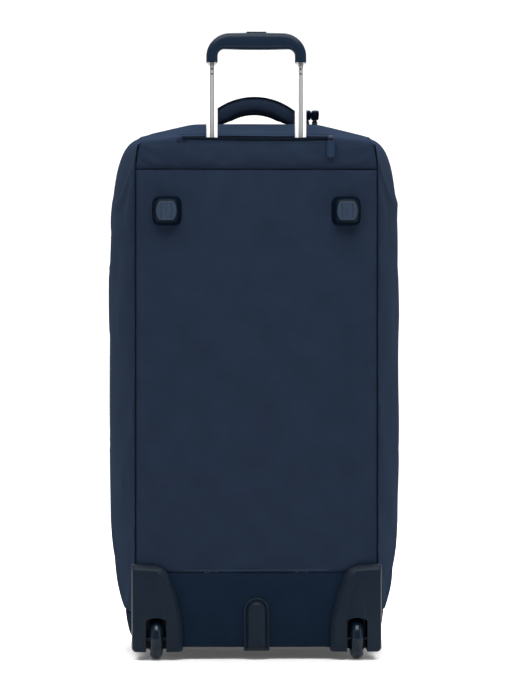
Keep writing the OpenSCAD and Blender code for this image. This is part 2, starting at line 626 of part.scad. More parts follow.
in_frame() mirror([1, 0, 0]) wheel_bearings();  // wheel_bearings_left
in_frame() wheel_bearings();  // wheel_bearings_right
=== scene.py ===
import math

import bmesh
import bpy
import numpy as np
from mathutils import Matrix, Vector, noise


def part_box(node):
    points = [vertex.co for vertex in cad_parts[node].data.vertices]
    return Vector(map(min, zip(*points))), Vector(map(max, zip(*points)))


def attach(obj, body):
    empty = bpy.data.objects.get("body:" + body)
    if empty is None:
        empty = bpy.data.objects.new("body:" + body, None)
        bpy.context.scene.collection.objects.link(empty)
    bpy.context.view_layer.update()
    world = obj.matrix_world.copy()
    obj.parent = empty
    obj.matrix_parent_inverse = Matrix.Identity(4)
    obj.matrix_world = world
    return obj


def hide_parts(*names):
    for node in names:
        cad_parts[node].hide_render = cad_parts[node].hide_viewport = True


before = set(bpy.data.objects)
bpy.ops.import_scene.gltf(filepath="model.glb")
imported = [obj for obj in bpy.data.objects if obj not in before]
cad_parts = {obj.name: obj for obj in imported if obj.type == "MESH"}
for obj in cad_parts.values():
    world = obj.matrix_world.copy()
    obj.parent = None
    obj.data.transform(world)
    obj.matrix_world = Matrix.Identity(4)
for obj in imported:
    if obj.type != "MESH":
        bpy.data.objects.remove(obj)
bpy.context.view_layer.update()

MM = 0.001
BACK_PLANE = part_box("back_panel")[0].y + 1 * MM   # the panel stands 1 mm proud of its plane


def to_world(points):
    points = np.asarray(points, float) * MM
    points[..., 1] += BACK_PLANE
    return points


def node_box(name):
    """Lowest and highest corners of a CAD node in the design frame."""
    corners = np.array([list(c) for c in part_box(name)])
    corners[:, 1] -= BACK_PLANE
    return corners / MM


# ---------------------------------------------------------------- materials
def new_material(name, color, roughness, metallic=0.0):
    material = bpy.data.materials.new(name)
    material.use_nodes = True
    shader = material.node_tree.nodes["Principled BSDF"]
    shader.inputs["Base Color"].default_value = (*color, 1)
    shader.inputs["Roughness"].default_value = roughness
    shader.inputs["Metallic"].default_value = metallic
    return material, material.node_tree, shader


def node(tree, kind, **values):
    made = tree.nodes.new(kind)
    for key, value in values.items():
        if key in made.inputs:
            made.inputs[key].default_value = value
        else:
            setattr(made, key, value)
    return made


def place(tree, scale=(1, 1, 1), turn=(0, 0, 0)):
    where = node(tree, "ShaderNodeTexCoord")
    mapping = node(tree, "ShaderNodeMapping")
    mapping.inputs["Scale"].default_value = scale
    mapping.inputs["Rotation"].default_value = turn
    tree.links.new(where.outputs["Object"], mapping.inputs["Vector"])
    return mapping.outputs["Vector"]


def noise_of(tree, vector, scale, detail=3.0):
    made = node(tree, "ShaderNodeTexNoise", Scale=scale, Detail=detail)
    tree.links.new(vector, made.inputs["Vector"])
    return made.outputs["Fac"]


def math_of(tree, operation, a, b):
    made = node(tree, "ShaderNodeMath", operation=operation)
    for socket, value in zip(made.inputs, (a, b)):
        if isinstance(value, (int, float)):
            socket.default_value = value
        else:
            tree.links.new(value, socket)
    return made.outputs[0]


def vary(tree, shader, color, spread, factor):
    """Base colour running from darker to lighter by spread as factor goes from 0.3 to 0.7."""
    ramp = node(tree, "ShaderNodeValToRGB")
    ramp.color_ramp.elements[0].position = 0.3
    ramp.color_ramp.elements[1].position = 0.7
    ramp.color_ramp.elements[0].color = (*[c * (1 - spread) for c in color], 1)
    ramp.color_ramp.elements[1].color = (*[min(1, c * (1 + spread)) for c in color], 1)
    tree.links.new(factor, ramp.inputs["Fac"])
    tree.links.new(ramp.outputs["Color"], shader.inputs["Base Color"])


def bump(tree, shader, height, distance):
    made = node(tree, "ShaderNodeBump", Strength=1.0, Distance=distance)
    tree.links.new(height, made.inputs["Height"])
    tree.links.new(made.outputs["Normal"], shader.inputs["Normal"])


def fabric(name, color, roughness=0.6, sheen=0.026, thread=0.9, relief=0.00012, spread=0.12, specular=0.0):
    """Twill: two sets of fine diagonal ribs, soft cloudy unevenness and a little sheen."""
    material, tree, shader = new_material(name, color, roughness)
    shader.inputs["Sheen Weight"].default_value = sheen
    shader.inputs["Sheen Roughness"].default_value = 0.4
    shader.inputs["Sheen Tint"].default_value = (0.5, 0.68, 1.0, 1)
    shader.inputs["Specular IOR Level"].default_value = specular
    ribs = []
    for turn in ((0.5, 0.3, 0.785), (-0.6, 0.4, -0.785)):
        wave = node(tree, "ShaderNodeTexWave", Scale=1 / (thread * MM) / 3.2, Distortion=0.6, Detail=1.0)
        tree.links.new(place(tree, turn=turn), wave.inputs["Vector"])
        ribs.append(wave.outputs["Fac"])
    weave = math_of(tree, "MULTIPLY", ribs[0], ribs[1])
    plain = place(tree)
    clouds = noise_of(tree, plain, 26, 4)
    grains = noise_of(tree, plain, 900, 2)
    mixed = math_of(tree, "ADD", math_of(tree, "MULTIPLY", clouds, 0.6), math_of(tree, "MULTIPLY", grains, 0.4))
    vary(tree, shader, color, spread, mixed)
    bump(tree, shader, math_of(tree, "ADD", weave, math_of(tree, "MULTIPLY", grains, 0.5)), relief)
    return material


def plastic(name, color, roughness=0.45, grain=700, relief=0.00005, coat=0.0, specular=0.13):
    """Moulded plastic with a fine spark-eroded grain and slow, cloudy changes of colour and gloss."""
    material, tree, shader = new_material(name, color, roughness)
    shader.inputs["Coat Weight"].default_value = coat
    shader.inputs["Specular IOR Level"].default_value = specular
    shader.inputs["Coat Roughness"].default_value = 0.15
    plain = place(tree)
    grains = noise_of(tree, plain, grain, 2)
    clouds = noise_of(tree, plain, 14, 3)
    mixed = math_of(tree, "ADD", math_of(tree, "MULTIPLY", clouds, 0.7),
                    math_of(tree, "MULTIPLY", grains, 0.3))
    vary(tree, shader, color, 0.1, mixed)
    uneven = math_of(tree, "ADD", math_of(tree, "MULTIPLY", clouds, 0.16), roughness - 0.08)
    tree.links.new(uneven, shader.inputs["Roughness"])
    bump(tree, shader, grains, relief)
    return material


def metal(name, color, roughness=0.22, streak=(1, 1, 0.02)):
    """Drawn or brushed metal: fine streaks along one axis."""
    material, tree, shader = new_material(name, color, roughness, 1.0)
    streaks = noise_of(tree, place(tree, scale=streak), 1500, 2)
    tree.links.new(math_of(tree, "ADD", math_of(tree, "MULTIPLY", streaks, 0.12), roughness - 0.06),
                   shader.inputs["Roughness"])
    vary(tree, shader, color, 0.03, streaks)
    bump(tree, shader, streaks, 0.00002)
    return material


TUBE_X, TUBE_Y = 63.65, 20.0


def tube_with_painted_groove_shade():
    """Bright satin aluminium with painted shade down the groove of its back face and towards its sides."""
    material, tree, shader = new_material("anodised tube", (0.94, 0.94, 0.95), 0.3, 0.04)
    where = node(tree, "ShaderNodeTexCoord")
    axes = node(tree, "ShaderNodeSeparateXYZ")
    tree.links.new(where.outputs["Object"], axes.inputs[0])
    off_centre = math_of(tree, "ABSOLUTE", axes.outputs["X"], 0)
    away = math_of(tree, "ABSOLUTE", math_of(tree, "SUBTRACT", off_centre, TUBE_X * MM), 0)
    ramp = node(tree, "ShaderNodeValToRGB")
    # Distance from the tube's centre line in centimetres, and the grey there: painted shade in the groove and
    # towards the tube's sides, near white on its faces.
    stops = ((0.0, 0.24), (0.18, 0.34), (0.23, 0.10), (0.30, 0.12), (0.325, 0.98), (0.72, 0.98), (0.8, 0.8))
    for k, (at, grey) in enumerate(stops):
        stop = ramp.color_ramp.elements[k] if k < 2 else ramp.color_ramp.elements.new(at)
        stop.position = at
        stop.color = (grey, grey, grey * 1.01, 1)
    tree.links.new(math_of(tree, "MULTIPLY", away, 100), ramp.inputs["Fac"])
    tree.links.new(ramp.outputs["Color"], shader.inputs["Base Color"])
    streaks = noise_of(tree, place(tree, scale=(1, 1, 0.02)), 1500, 2)
    uneven = math_of(tree, "ADD", math_of(tree, "MULTIPLY", streaks, 0.1), 0.25)
    tree.links.new(uneven, shader.inputs["Roughness"])
    bump(tree, shader, streaks, 0.00002)
    return material


NAVY = (0.0126, 0.0200, 0.0365)
MAT = {
    "navy": fabric("navy twill", NAVY),
    "kick": fabric("coated kick twill", (0.0064, 0.0125, 0.0245), roughness=0.5),
    "base": fabric("base cloth", (0.0050, 0.0085, 0.0150)),
    "lining": fabric("lining", (0.030, 0.040, 0.062), sheen=0.02, thread=0.5, spread=0.06, specular=0.1),
    "tape": fabric("zip tape", (0.0042, 0.0068, 0.0120), thread=1.2, relief=0.0002),
    "webbing": fabric("webbing", (0.0080, 0.0130, 0.0240), thread=2.2, relief=0.0004),
    "piping": fabric("piping", (0.0030, 0.0050, 0.0090), thread=1.0),
    "thread": fabric("thread", (0.045, 0.062, 0.095), thread=0.4),
    "dark_thread": fabric("dark thread", (0.0035, 0.0055, 0.0095), thread=0.4),
    "housing": plastic("housing plastic", (0.0058, 0.0112, 0.0200), roughness=0.4, specular=0.09),
    "grip": plastic("grip plastic", (0.0040, 0.0110, 0.0235), roughness=0.34, coat=0.04, specular=0.1),
    "foot": plastic("foot plastic", (0.0009, 0.0038, 0.0090), roughness=0.42, specular=0.07),
    "pad": plastic("foot rubber", (0.019, 0.032, 0.054), roughness=0.5, grain=1100),
    "tyre": plastic("tyre", (0.0016, 0.0072, 0.0160), roughness=0.2, coat=0.22, relief=0.00001, specular=0.1),
    "hub": plastic("hub plastic", (0.0050, 0.0075, 0.0120), roughness=0.35),
    "black_steel": metal("black oxide steel", (0.030, 0.032, 0.036), roughness=0.4, streak=(1, 1, 1)),
    "puller": plastic("puller", (0.0080, 0.0185, 0.0420), roughness=0.4, coat=0.05, specular=0.16),
    "teeth": plastic("zip coil", (0.0035, 0.0055, 0.0095), roughness=0.3, relief=0.00002),
    "enamel": metal("dark enamelled zinc", (0.016, 0.021, 0.033), roughness=0.38, streak=(1, 1, 1)),
    "tube": tube_with_painted_groove_shade(),
    "steel": metal("plain steel", (0.55, 0.55, 0.56), roughness=0.3, streak=(1, 1, 1)),
    "board": plastic("stiffener board", (0.06, 0.06, 0.065), roughness=0.6),
}


# ---------------------------------------------------------------- mesh building
class Builder:
    """Collects vertices and faces in the design frame, in millimetres."""

    def __init__(self):
        self.points = []
        self.faces = []
        self.slots = []

    def add(self, points, faces, slot=0):
        base = len(self.points)
        self.points.extend(np.asarray(points, float).reshape(-1, 3).tolist())
        self.faces.extend([tuple(base + i for i in f) for f in faces])
        self.slots.extend([slot] * len(faces))

    def grid(self, points, slot=0, hole=None, wrap=False):
        """A sheet of quads over a (rows, columns, 3) array; wrap joins the last column to the first."""
        rows, cols = points.shape[:2]
        span = cols if wrap else cols - 1
        faces = [(i * cols + j, (i + 1) * cols + j, (i + 1) * cols + (j + 1) % cols, i * cols + (j + 1) % cols)
                 for i in range(rows - 1) for j in range(span) if not (hole and hole(i, j))]
        self.add(points, faces, slot)

    def slab(self, outer, inner, hole=None, slots=(0, 0)):
        """A closed sheet between two grids, with walls round every edge and hole."""
        rows, cols = outer.shape[:2]
        there = lambda i, j: 0 <= i < rows - 1 and 0 <= j < cols - 1 and not (hole and hole(i, j))
        n = rows * cols
        at = lambda i, j: i * cols + j
        top, low, wall = [], [], []
        for i in range(rows - 1):
            for j in range(cols - 1):
                if not there(i, j):
                    continue
                p, q, r, s = at(i, j), at(i + 1, j), at(i + 1, j + 1), at(i, j + 1)
                top.append((p, q, r, s))
                low.append((s + n, r + n, q + n, p + n))
                for missing, a, b in ((there(i, j - 1), p, q), (there(i + 1, j), q, r),
                                      (there(i, j + 1), r, s), (there(i - 1, j), s, p)):
                    if not missing:
                        wall.append((a, a + n, b + n, b))
        base = len(self.points)
        self.points.extend(np.concatenate([outer.reshape(-1, 3), inner.reshape(-1, 3)]).tolist())
        for faces, slot in ((top, slots[0]), (wall, slots[0]), (low, slots[1])):
            self.faces.extend([tuple(base + i for i in f) for f in faces])
            self.slots.extend([slot] * len(faces))

    def block(self, low, high, round_off=0.6, slot=0, turn=None, segments=2):
        """A box with rounded edges, turned by a 4 x 4 matrix if one is given."""
        mesh = bmesh.new()
        bmesh.ops.create_cube(mesh, size=1)
        size = Vector(high) - Vector(low)
        middle = (Vector(high) + Vector(low)) / 2
        for v in mesh.verts:
            v.co = Vector([v.co[k] * size[k] + middle[k] for k in range(3)])
        bmesh.ops.bevel(mesh, geom=mesh.edges[:], offset=min(round_off, min(size) * 0.45),
                        segments=segments, profile=0.5, affect="EDGES")
        if turn is not None:
            mesh.transform(turn)
        mesh.verts.index_update()
        self.add([list(v.co) for v in mesh.verts], [[v.index for v in f.verts] for f in mesh.faces], slot)
        mesh.free()

    def make(self, name, body, slot, materials, stands_for=(), sharp=35):
        """Makes the object, riding on a body; edges sharper than sharp degrees stay crisp."""
        mesh = bpy.data.meshes.new(name)
        mesh.from_pydata(to_world(self.points).tolist(), [], self.faces)
        for key in materials:
            mesh.materials.append(MAT[key])
        mesh.polygons.foreach_set("material_index", self.slots)
        tool = bmesh.new()
        tool.from_mesh(mesh)
        bmesh.ops.remove_doubles(tool, verts=tool.verts, dist=0.00001)
        bmesh.ops.recalc_face_normals(tool, faces=tool.faces)
        for edge in tool.edges:
            edge.smooth = len(edge.link_faces) != 2 or edge.calc_face_angle(0) < math.radians(sharp)
        tool.to_mesh(mesh)
        tool.free()
        mesh.polygons.foreach_set("use_smooth", [True] * len(mesh.polygons))
        obj = bpy.data.objects.new(name, mesh)
        bpy.context.scene.collection.objects.link(obj)
        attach(obj, body)
        if stands_for:
            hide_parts(*stands_for)
        return obj


def rounded_section(width, height, power=4.0, count=24):
    """Superellipse outline, as (across, up) pairs."""
    turn = np.linspace(0, 2 * np.pi, count, endpoint=False)
    c, s = np.cos(turn), np.sin(turn)
    across = np.sign(c) * np.abs(c) ** (2 / power) * width / 2
    up = np.sign(s) * np.abs(s) ** (2 / power) * height / 2
    return np.stack([across, up], 1)


def sweep(path, section, side, closed_ends=True, scale=None):
    """Rings of a section along a path. side is the direction of the section's second axis."""
    path = np.asarray(path, float)
    along = np.gradient(path, axis=0)
    along /= np.linalg.norm(along, axis=1)[:, None]
    side = np.broadcast_to(np.asarray(side, float), path.shape)
    side = side - along * np.sum(side * along, axis=1)[:, None]
    side /= np.linalg.norm(side, axis=1)[:, None]
    across = np.cross(along, side)
    rings = []
    for k in range(len(path)):
        s = section if scale is None else section * scale[k]
        rings.append(path[k] + s[:, :1] * across[k] + s[:, 1:] * side[k])
    rings = np.array(rings)
    if closed_ends:
        first, last = rings[0].mean(0), rings[-1].mean(0)
        rings = np.concatenate([[first + (rings[0] - first) * 0.02], [first + (rings[0] - first) * 0.9],
                                rings, [last + (rings[-1] - last) * 0.9], [last + (rings[-1] - last) * 0.02]])
    return rings


def resample(path, spacing):
    path = np.asarray(path, float)
    length = np.concatenate([[0], np.cumsum(np.linalg.norm(np.diff(path, axis=0), axis=1))])
    count = max(2, int(round(length[-1] / spacing)) + 1)
    wanted = np.linspace(0, length[-1], count)
    return np.stack([np.interp(wanted, length, path[:, k]) for k in range(3)], 1)


def stitches(builder, path, normals, pitch=4.2, length=2.9, radius=0.32):
    """A row of thread stitches lying on a surface along a path."""
    path = np.asarray(path, float)
    run = np.concatenate([[0], np.cumsum(np.linalg.norm(np.diff(path, axis=0), axis=1))])
    at = lambda d, rows: np.array([np.interp(d, run, rows[:, k]) for k in range(3)])
    normals = np.broadcast_to(np.asarray(normals, float), path.shape)
    section = rounded_section(2 * radius, 2 * radius, 2.0, 6)
    for k in range(int(run[-1] / pitch)):
        start = k * pitch + (pitch - length) / 2
        spots = np.array([at(start + length * t, path) for t in (0, 0.25, 0.5, 0.75, 1)])
        up = at(start + length / 2, normals)
        spots += up * np.array([-0.1, 0.8, 1.0, 0.8, -0.1])[:, None] * radius
        builder.grid(sweep(spots, section, up, closed_ends=False), wrap=True)


# ---------------------------------------------------------------- the bag's shape
# Heights of the base, the top, the slit's ledge and the seams of the yoke and the kick panel.
BASE = 18.0
TOP = 777.0
LEDGE = 748.0
YOKE = 701.0
KICK = 124.5
# Depths of the lid's front and of the main zip, and where the bag is fullest.
DEPTH = 320.0
ZIP_Y = 210.0
BELLY_Y = 150
FRONT_POWER = 2.6       # roundness of the shoulder between the belly and the front
WALL = 5.0
CROWN = 8.0
LID_LOW = 64.0
GAP = 0.4

# Right halves of the outlines at the back, at the belly and at the front, as (x, z).
BACK_HALF = [(0, 18), (80, 18), (150, 18), (168, 24), (172, 64), (173, 150), (173, 363), (173, 600),
             (173, 690), (171, 725), (166, 742), (95, 748), (0, 748)]
BELLY_HALF = [(0, 18), (80, 18), (150, 18), (182, 26), (191, 62), (206.5, 150), (214, 363), (212, 610),
              (204.5, 700), (190, 740), (166, 757), (95, 777), (0, 777)]
FRONT_HALF = [(0, 64), (70, 64), (125, 64), (144, 67), (152, 78), (158, 150), (160, 363), (158, 590),
              (150, 655), (130, 690), (110, 701), (60, 705), (0, 706)]
LAST = len(BACK_HALF) - 1
CORNER_U, SEAM_U = 4, 10


def outline(half):
    """A function of u along a closed outline given by the points of its right half."""
    half = np.array(half, float)
    mirrored = half * (-1, 1)
    keys = np.concatenate([mirrored[:0:-1], half, mirrored[-2::-1]])
    steps = np.diff(keys, axis=0)
    before, after = steps[:-1], steps[1:]
    same = before * after > 0
    tangents = np.zeros_like(keys)
    tangents[1:-1] = np.where(same, 2 * before * after / np.where(same, before + after, 1), 0)

    def at(u):
        u = np.asarray(u, float)
        i = np.clip(np.floor(u).astype(int), -LAST, 2 * LAST - 1)
        t = (u - i)[..., None]
        i = i + LAST
        return (keys[i] * (2 * t ** 3 - 3 * t ** 2 + 1) + tangents[i] * (t ** 3 - 2 * t ** 2 + t)
                + keys[i + 1] * (3 * t ** 2 - 2 * t ** 3) + tangents[i + 1] * (t ** 3 - t ** 2))
    return at


back_line, belly_keys, front_line = outline(BACK_HALF), outline(BELLY_HALF), outline(FRONT_HALF)
CREST, CREST_HALF, CREST_FALL, CREST_EASE = 775.8, 92.0, 0.254, 8.0


def belly_line(u):
    """The fullest outline. Between its top seams the soft cloth falls away straight from its crest."""
    points = belly_keys(u)
    beyond = np.abs(points[..., 0]) - CREST_HALF
    slope = CREST - CREST_FALL * (beyond + np.sqrt(beyond ** 2 + CREST_EASE ** 2)) / 2
    top = (u > SEAM_U) & (u < 2 * LAST - SEAM_U)
    points[..., 1] = np.where(top, slope, points[..., 1])
    return points


def smooth(t):
    t = np.clip(t, 0, 1)
    return t * t * (3 - 2 * t)


def shell(u, y):
    """Point of the bag's outer surface, u along its outline and y deep."""
    u, y = np.broadcast_arrays(np.asarray(u, float), np.asarray(y, float))
    b, w, f = back_line(u), belly_line(u), front_line(u)
    behind = 1 - np.sin(np.radians(90 * np.minimum(y, BELLY_Y) / BELLY_Y))
    ledge = 1 - smooth((y - 5) / 115)
    shoulder = np.clip((y - BELLY_Y) / (DEPTH - BELLY_Y), 0, 1)
    ahead = 1 - (1 - shoulder ** FRONT_POWER) ** (1 / FRONT_POWER)
    x = w[..., 0] + (b[..., 0] - w[..., 0]) * behind + (f[..., 0] - w[..., 0]) * ahead
    z = w[..., 1] + (b[..., 1] - w[..., 1]) * ledge + (f[..., 1] - w[..., 1]) * ahead
    return np.stack([x, y, z], -1)


def shell_normal(u, y):
    """Outward unit normal of the shell."""
    u, y = np.broadcast_arrays(np.asarray(u, float), np.asarray(y, float))
    step = 0.02
    back = np.where(y > DEPTH - step, -step, step)
    n = np.cross((shell(u, y + back) - shell(u, y)) / back[..., None], shell(u + step, y) - shell(u - step, y))
    return n / np.linalg.norm(n, axis=-1)[..., None]


def border_distances(points):
    """Distance of each grid point from the first row, last row, first column and last column."""
    down = np.linalg.norm(np.diff(points, axis=0), axis=2)
    along = np.linalg.norm(np.diff(points, axis=1), axis=2)
    zero_row = np.zeros((1, points.shape[1]))
    zero_col = np.zeros((points.shape[0], 1))
    d0 = np.concatenate([zero_row, np.cumsum(down, axis=0)])
    d2 = np.concatenate([zero_col, np.cumsum(along, axis=1)], axis=1)
    return d0, d0[-1] - d0, d2, d2[:, -1:] - d2


def above(lift, floor):
    """Keeps a lift above a floor, so that a panel's outside never sinks through its inside."""
    ease = 0.3
    return floor + ease * np.logaddexp(0, (lift - floor) / ease)


TAPE_HALF = 12.5


def under_tape(lift, y):
    """Holds the cloth down where the main zip's tapes are sewn on it."""
    free = smooth((np.abs(y - ZIP_Y) - TAPE_HALF) / 9)
    return lift * free + np.clip(lift, -0.35, 0.0) * (1 - free)


def soft_relief(points, seams, crown=0.0, reach=60.0, roll=1.7, pucker=0.5, wave=0.8, seed=0.0):
    """How far a padded panel stands off its plain surface: rolled edges, puckers and slow waves."""
    distances = border_distances(points)
    near = np.full(points.shape[:2], 1e9)
    for d, seam in zip(distances, seams):
        if seam:
            near = np.minimum(near, d)
    lift = crown * (1 - np.exp(-near / reach)) - roll * np.exp(-(near / 2.6) ** 1.3)
    lift -= 0.5 * np.exp(-((near - 7) / 3.2) ** 2)
    flat = points.reshape(-1, 3)
    slow = np.array([noise.noise(Vector(p) * 0.009 + Vector((seed, 7.3, 0))) for p in flat])
    quick = np.array([noise.noise(Vector(p) * 0.05 + Vector((0, seed, 3.1))) for p in flat])
    slow, quick = slow.reshape(near.shape), quick.reshape(near.shape)
    calm = 1 - np.exp(-near / 20)
    return lift + wave * 2 * slow * calm + pucker * 2 * quick * np.exp(-near / 22) * (1 - np.exp(-near / 3))


SETTLING_FRAMES = 14


def drape(points, normals, hole=None, grow=0.012, cap=1.8):
    """Cloth simulation of one sewn sheet: its border stays where it is sewn, and slightly too much
    cloth over soft padding settles into its own puckers. Returns how far each point has moved out."""
    rows, cols = points.shape[:2]
    sheet = Builder()
    sheet.grid(points, hole=hole)
    mesh = bpy.data.meshes.new("drape")
    mesh.from_pydata(to_world(sheet.points).tolist(), [], sheet.faces)
    obj = bpy.data.objects.new("drape", mesh)
    bpy.context.scene.collection.objects.link(obj)
    sewn = np.zeros((rows, cols), bool)
    sewn[:2], sewn[-2:], sewn[:, :2], sewn[:, -2:] = True, True, True, True
    if hole:
        for i in range(rows - 1):
            for j in range(cols - 1):
                if hole(i, j):
                    sewn[i:i + 2, j:j + 2] = True
    pins = obj.vertex_groups.new(name="sewn")
    pins.add([int(k) for k in np.flatnonzero(sewn.ravel())], 1.0, "REPLACE")
    cloth = obj.modifiers.new("Cloth", "CLOTH")
    cloth.settings.vertex_group_mass = "sewn"
    cloth.settings.shrink_min = -grow
    cloth.settings.use_pressure = True
    # The pressure acts along the mesh's own normals, which may face in.
    r, c = rows // 2, cols // 2
    facing = np.cross(points[r + 1, c] - points[r, c], points[r, c + 1] - points[r, c])
    outward = np.sign(np.dot(facing, np.broadcast_to(normals, points.shape)[r, c]))
    cloth.settings.uniform_pressure_force = 0.6 * float(outward)
    cloth.settings.effector_weights.gravity = 0.15
    cloth.settings.quality = 4
    cloth.settings.bending_stiffness = 1.5
    cloth.settings.air_damping = 4
    for number in range(1, SETTLING_FRAMES + 1):
        bpy.context.scene.frame_set(number)
    posed = obj.evaluated_get(bpy.context.evaluated_depsgraph_get())
    moved = np.array([v.co for v in posed.data.vertices]) / MM
    start = np.array(to_world(sheet.points)) / MM
    bpy.context.scene.frame_set(1)
    bpy.data.objects.remove(obj)
    bpy.data.meshes.remove(mesh)
    out = np.sum((moved - start).reshape(rows, cols, 3) * normals, axis=2)
    out = np.where(np.isfinite(out), out, 0)
    return cap * np.tanh(out / cap)


def panel(name, body, slot, us, ys, materials=("navy", "lining"), seams=(1, 1, 1, 1), stands_for=(),
          hole=None, cloth=True, **relief):
    """A padded panel of the sewn shell."""
    grid_u, grid_y = np.meshgrid(us, ys, indexing="ij")
    base, normal = shell(grid_u, grid_y), shell_normal(grid_u, grid_y)
    lift = soft_relief(base, seams, **relief)
    if cloth:
        lift = lift + drape(base, normal, hole)
    outer = base + normal * under_tape(above(lift, -2.6), grid_y)[..., None]
    inner = base - normal * (WALL - 0.4)
    made = Builder()
    made.slab(outer, inner, hole, slots=(0, 1))
    return walled(made.make(name, body, slot, materials, stands_for))


def walled(obj):
    """Returns the object as it is."""
    return obj


def fine(a, b, spacing):
    """Even stations from a to b."""
    return np.linspace(a, b, max(2, int(round(abs(b - a) / spacing)) + 1))


def edges_close(a, b, spacing, close=(0.02, 0.05, 0.09)):
    """Stations from a to b with extra ones near both ends, where a seam rolls in."""
    sign = 1 if b > a else -1
    ends = [a + sign * c for c in (0, *close)]
    more = [b - sign * c for c in (*close[::-1], 0)]
    middle = fine(ends[-1], more[0], spacing)[1:-1]
    return np.array([*ends, *middle, *more])


mm_close = (1.0, 2.2, 3.8, 6.0, 8.5)
side_ys = edges_close(WALL + GAP, ZIP_Y - GAP, 7.0, mm_close)
u_close = (0.012, 0.03, 0.055, 0.09)
for side, sign in (("left", -1), ("right", 1)):
    us = edges_close(CORNER_U + 0.01, SEAM_U - 0.01, 0.07, u_close)
    if sign < 0:
        us = 2 * LAST - us[::-1]
    panel(f"side_cloth_{side}", "bag", "navy_fabric", us, side_ys, seams=(1, 1, 1, 0),
          stands_for=[f"side_panel_{side}"], crown=1.2, seed=sign * 4.0, wave=1.0)


# ---------------------------------------------------------------- hood: yoke and top in one cloth
SLIT_HALF = 109.0
SLIT_FAR = 34.0
LIP_DROP = 1.4


def hood_point(u, v):
    """u runs along the outline from one top seam to the other, v from the yoke's seam (0) over
    the fold (1) and then y in millimetres beyond it."""
    edge = back_line(u)
    t = np.clip(v, 0, 1)
    level = YOKE + GAP + (edge[..., 1] - YOKE - GAP) * t
    widest = np.interp(level, [YOKE, 725, 742], [172.6, 171, 166.5])
    x = edge[..., 0] * (1 + (widest / 166.0 - 1) * (1 - t) ** 0.5)
    fall = np.interp(t, [0, 0.2, 0.45, 0.7, 0.86, 0.94, 1.0], [-0.5, -3.6, -5.0, -4.8, -3.4, -1.2, 3.0])
    # Its upper edge hangs a little lower along the slit.
    drop = LIP_DROP * smooth((SLIT_HALF + 3 - np.abs(x)) / 60) * smooth((t - 0.55) / 0.4)
    return np.stack([x, fall, level - drop], -1)


def build_hood():
    us = edges_close(SEAM_U + 0.01, 2 * LAST - SEAM_U - 0.01, 0.05, u_close)
    vs = np.array([0, 0.02, 0.05, 0.09, 0.14, 0.2, 0.27, 0.34, 0.41, 0.48, 0.55, 0.62, 0.69, 0.76, 0.82,
                   0.87, 0.91, 0.95, 0.98, 1.0])
    ys = np.concatenate([[7, 10, 14, 19, 24, 29, SLIT_FAR, 36, 38, 41, 45],
                         edges_close(50, ZIP_Y - GAP, 7.0, mm_close)[4:]])
    grid_u, grid_v = np.meshgrid(us, vs, indexing="ij")
    yoke = hood_point(grid_u, grid_v)
    yoke_normal = np.cross(np.gradient(yoke, axis=1), np.gradient(yoke, axis=0))
    yoke_normal /= np.linalg.norm(yoke_normal, axis=-1)[..., None]
    top_u, top_y = np.meshgrid(us, ys, indexing="ij")
    top = shell(top_u, top_y)
    top_normal = shell_normal(top_u, top_y)
    points = np.concatenate([yoke, top], axis=1)
    normals = np.concatenate([yoke_normal, top_normal], axis=1)
    first = len(vs)
    far = first + list(ys).index(SLIT_FAR)
    inside = lambda i, j: first - 1 <= j < far and abs(points[i, first, 0]) < SLIT_HALF \
        and abs(points[i + 1, first, 0]) < SLIT_HALF
    lift = soft_relief(points, (1, 1, 1, 0), crown=0.0, seed=2.0, wave=1.0, pucker=0.7, reach=30, roll=2.2)
    lift = lift + drape(points, normals, inside, grow=0.016) - 0.4
    # The cloth sinks a little towards the slit's two lips.
    x, y, z = points[..., 0], points[..., 1], points[..., 2]
    along = smooth((SLIT_HALF + 8 - np.abs(x)) / 14)
    closing = 1.0 + 1.6 * smooth((np.abs(x) - 58) / 45)
    far_lip = np.exp(-((y - SLIT_FAR) / 6.0) ** 2) * (y > 20)
    near_lip = np.exp(-((y - 3.0) / 2.2) ** 2) * (z > 738)
    lift -= 0.4 * along * near_lip
    outer = points + normals * under_tape(above(lift, -2.0), y)[..., None]
    inner = points - normals * 3.0
    deep = np.arange(points.shape[1]) >= far
    inner[:, deep] = (points - normals * (WALL - 0.4))[:, deep]
    sink = (along * far_lip * closing)[..., None] * np.array([0, 0, 1.0])
    outer, inner = outer - sink, inner - sink * 0.6
    made = Builder()
    made.slab(outer, inner, inside, slots=(0, 1))
    walled(made.make("hood_cloth", "bag", "navy_fabric", ("navy", "lining"), ["yoke_panel", "top_panel"]))


build_hood()


# ---------------------------------------------------------------- flat panels of the back
def flat_panel(name, widths, zs, stands_for, material, hole=None, cloth=True, **relief):
    """A slab in the back plane; widths gives its half width at each z."""
    fractions = np.unique(np.concatenate([fine(-1, 1, 0.045), [-0.995, -0.987, -0.975, -0.955, 0.955, 0.975,
                                                               0.987, 0.995]]))
    half = widths(zs)
    x = half[:, None] * fractions[None, :]
    z = np.repeat(np.asarray(zs)[:, None], len(fractions), axis=1)
    base = np.stack([x, np.full_like(x, -0.6), z], -1)
    lift = soft_relief(base, (1, 1, 1, 1), **relief)
    if cloth:
        lift = lift + drape(base, np.array([0, -1, 0]), cap=1.0)
    outer = base + np.array([0, -1, 0]) * lift[..., None]
    inner = base + np.array([0, 5.0, 0])
    made = Builder()
    made.slab(outer, inner, hole(x, z) if hole else None, slots=(0, 1))
    slot = "navy_fabric" if material == "navy" else "dark_fabric"
    return walled(made.make(name, "bag", slot, (material, "lining"), stands_for))


def back_width(z):
    """Half width of the back's outline at height z, just inside its seam."""
    line = back_line(np.linspace(2, SEAM_U, 400))
    return np.interp(z, line[:, 1], line[:, 0]) - 0.7


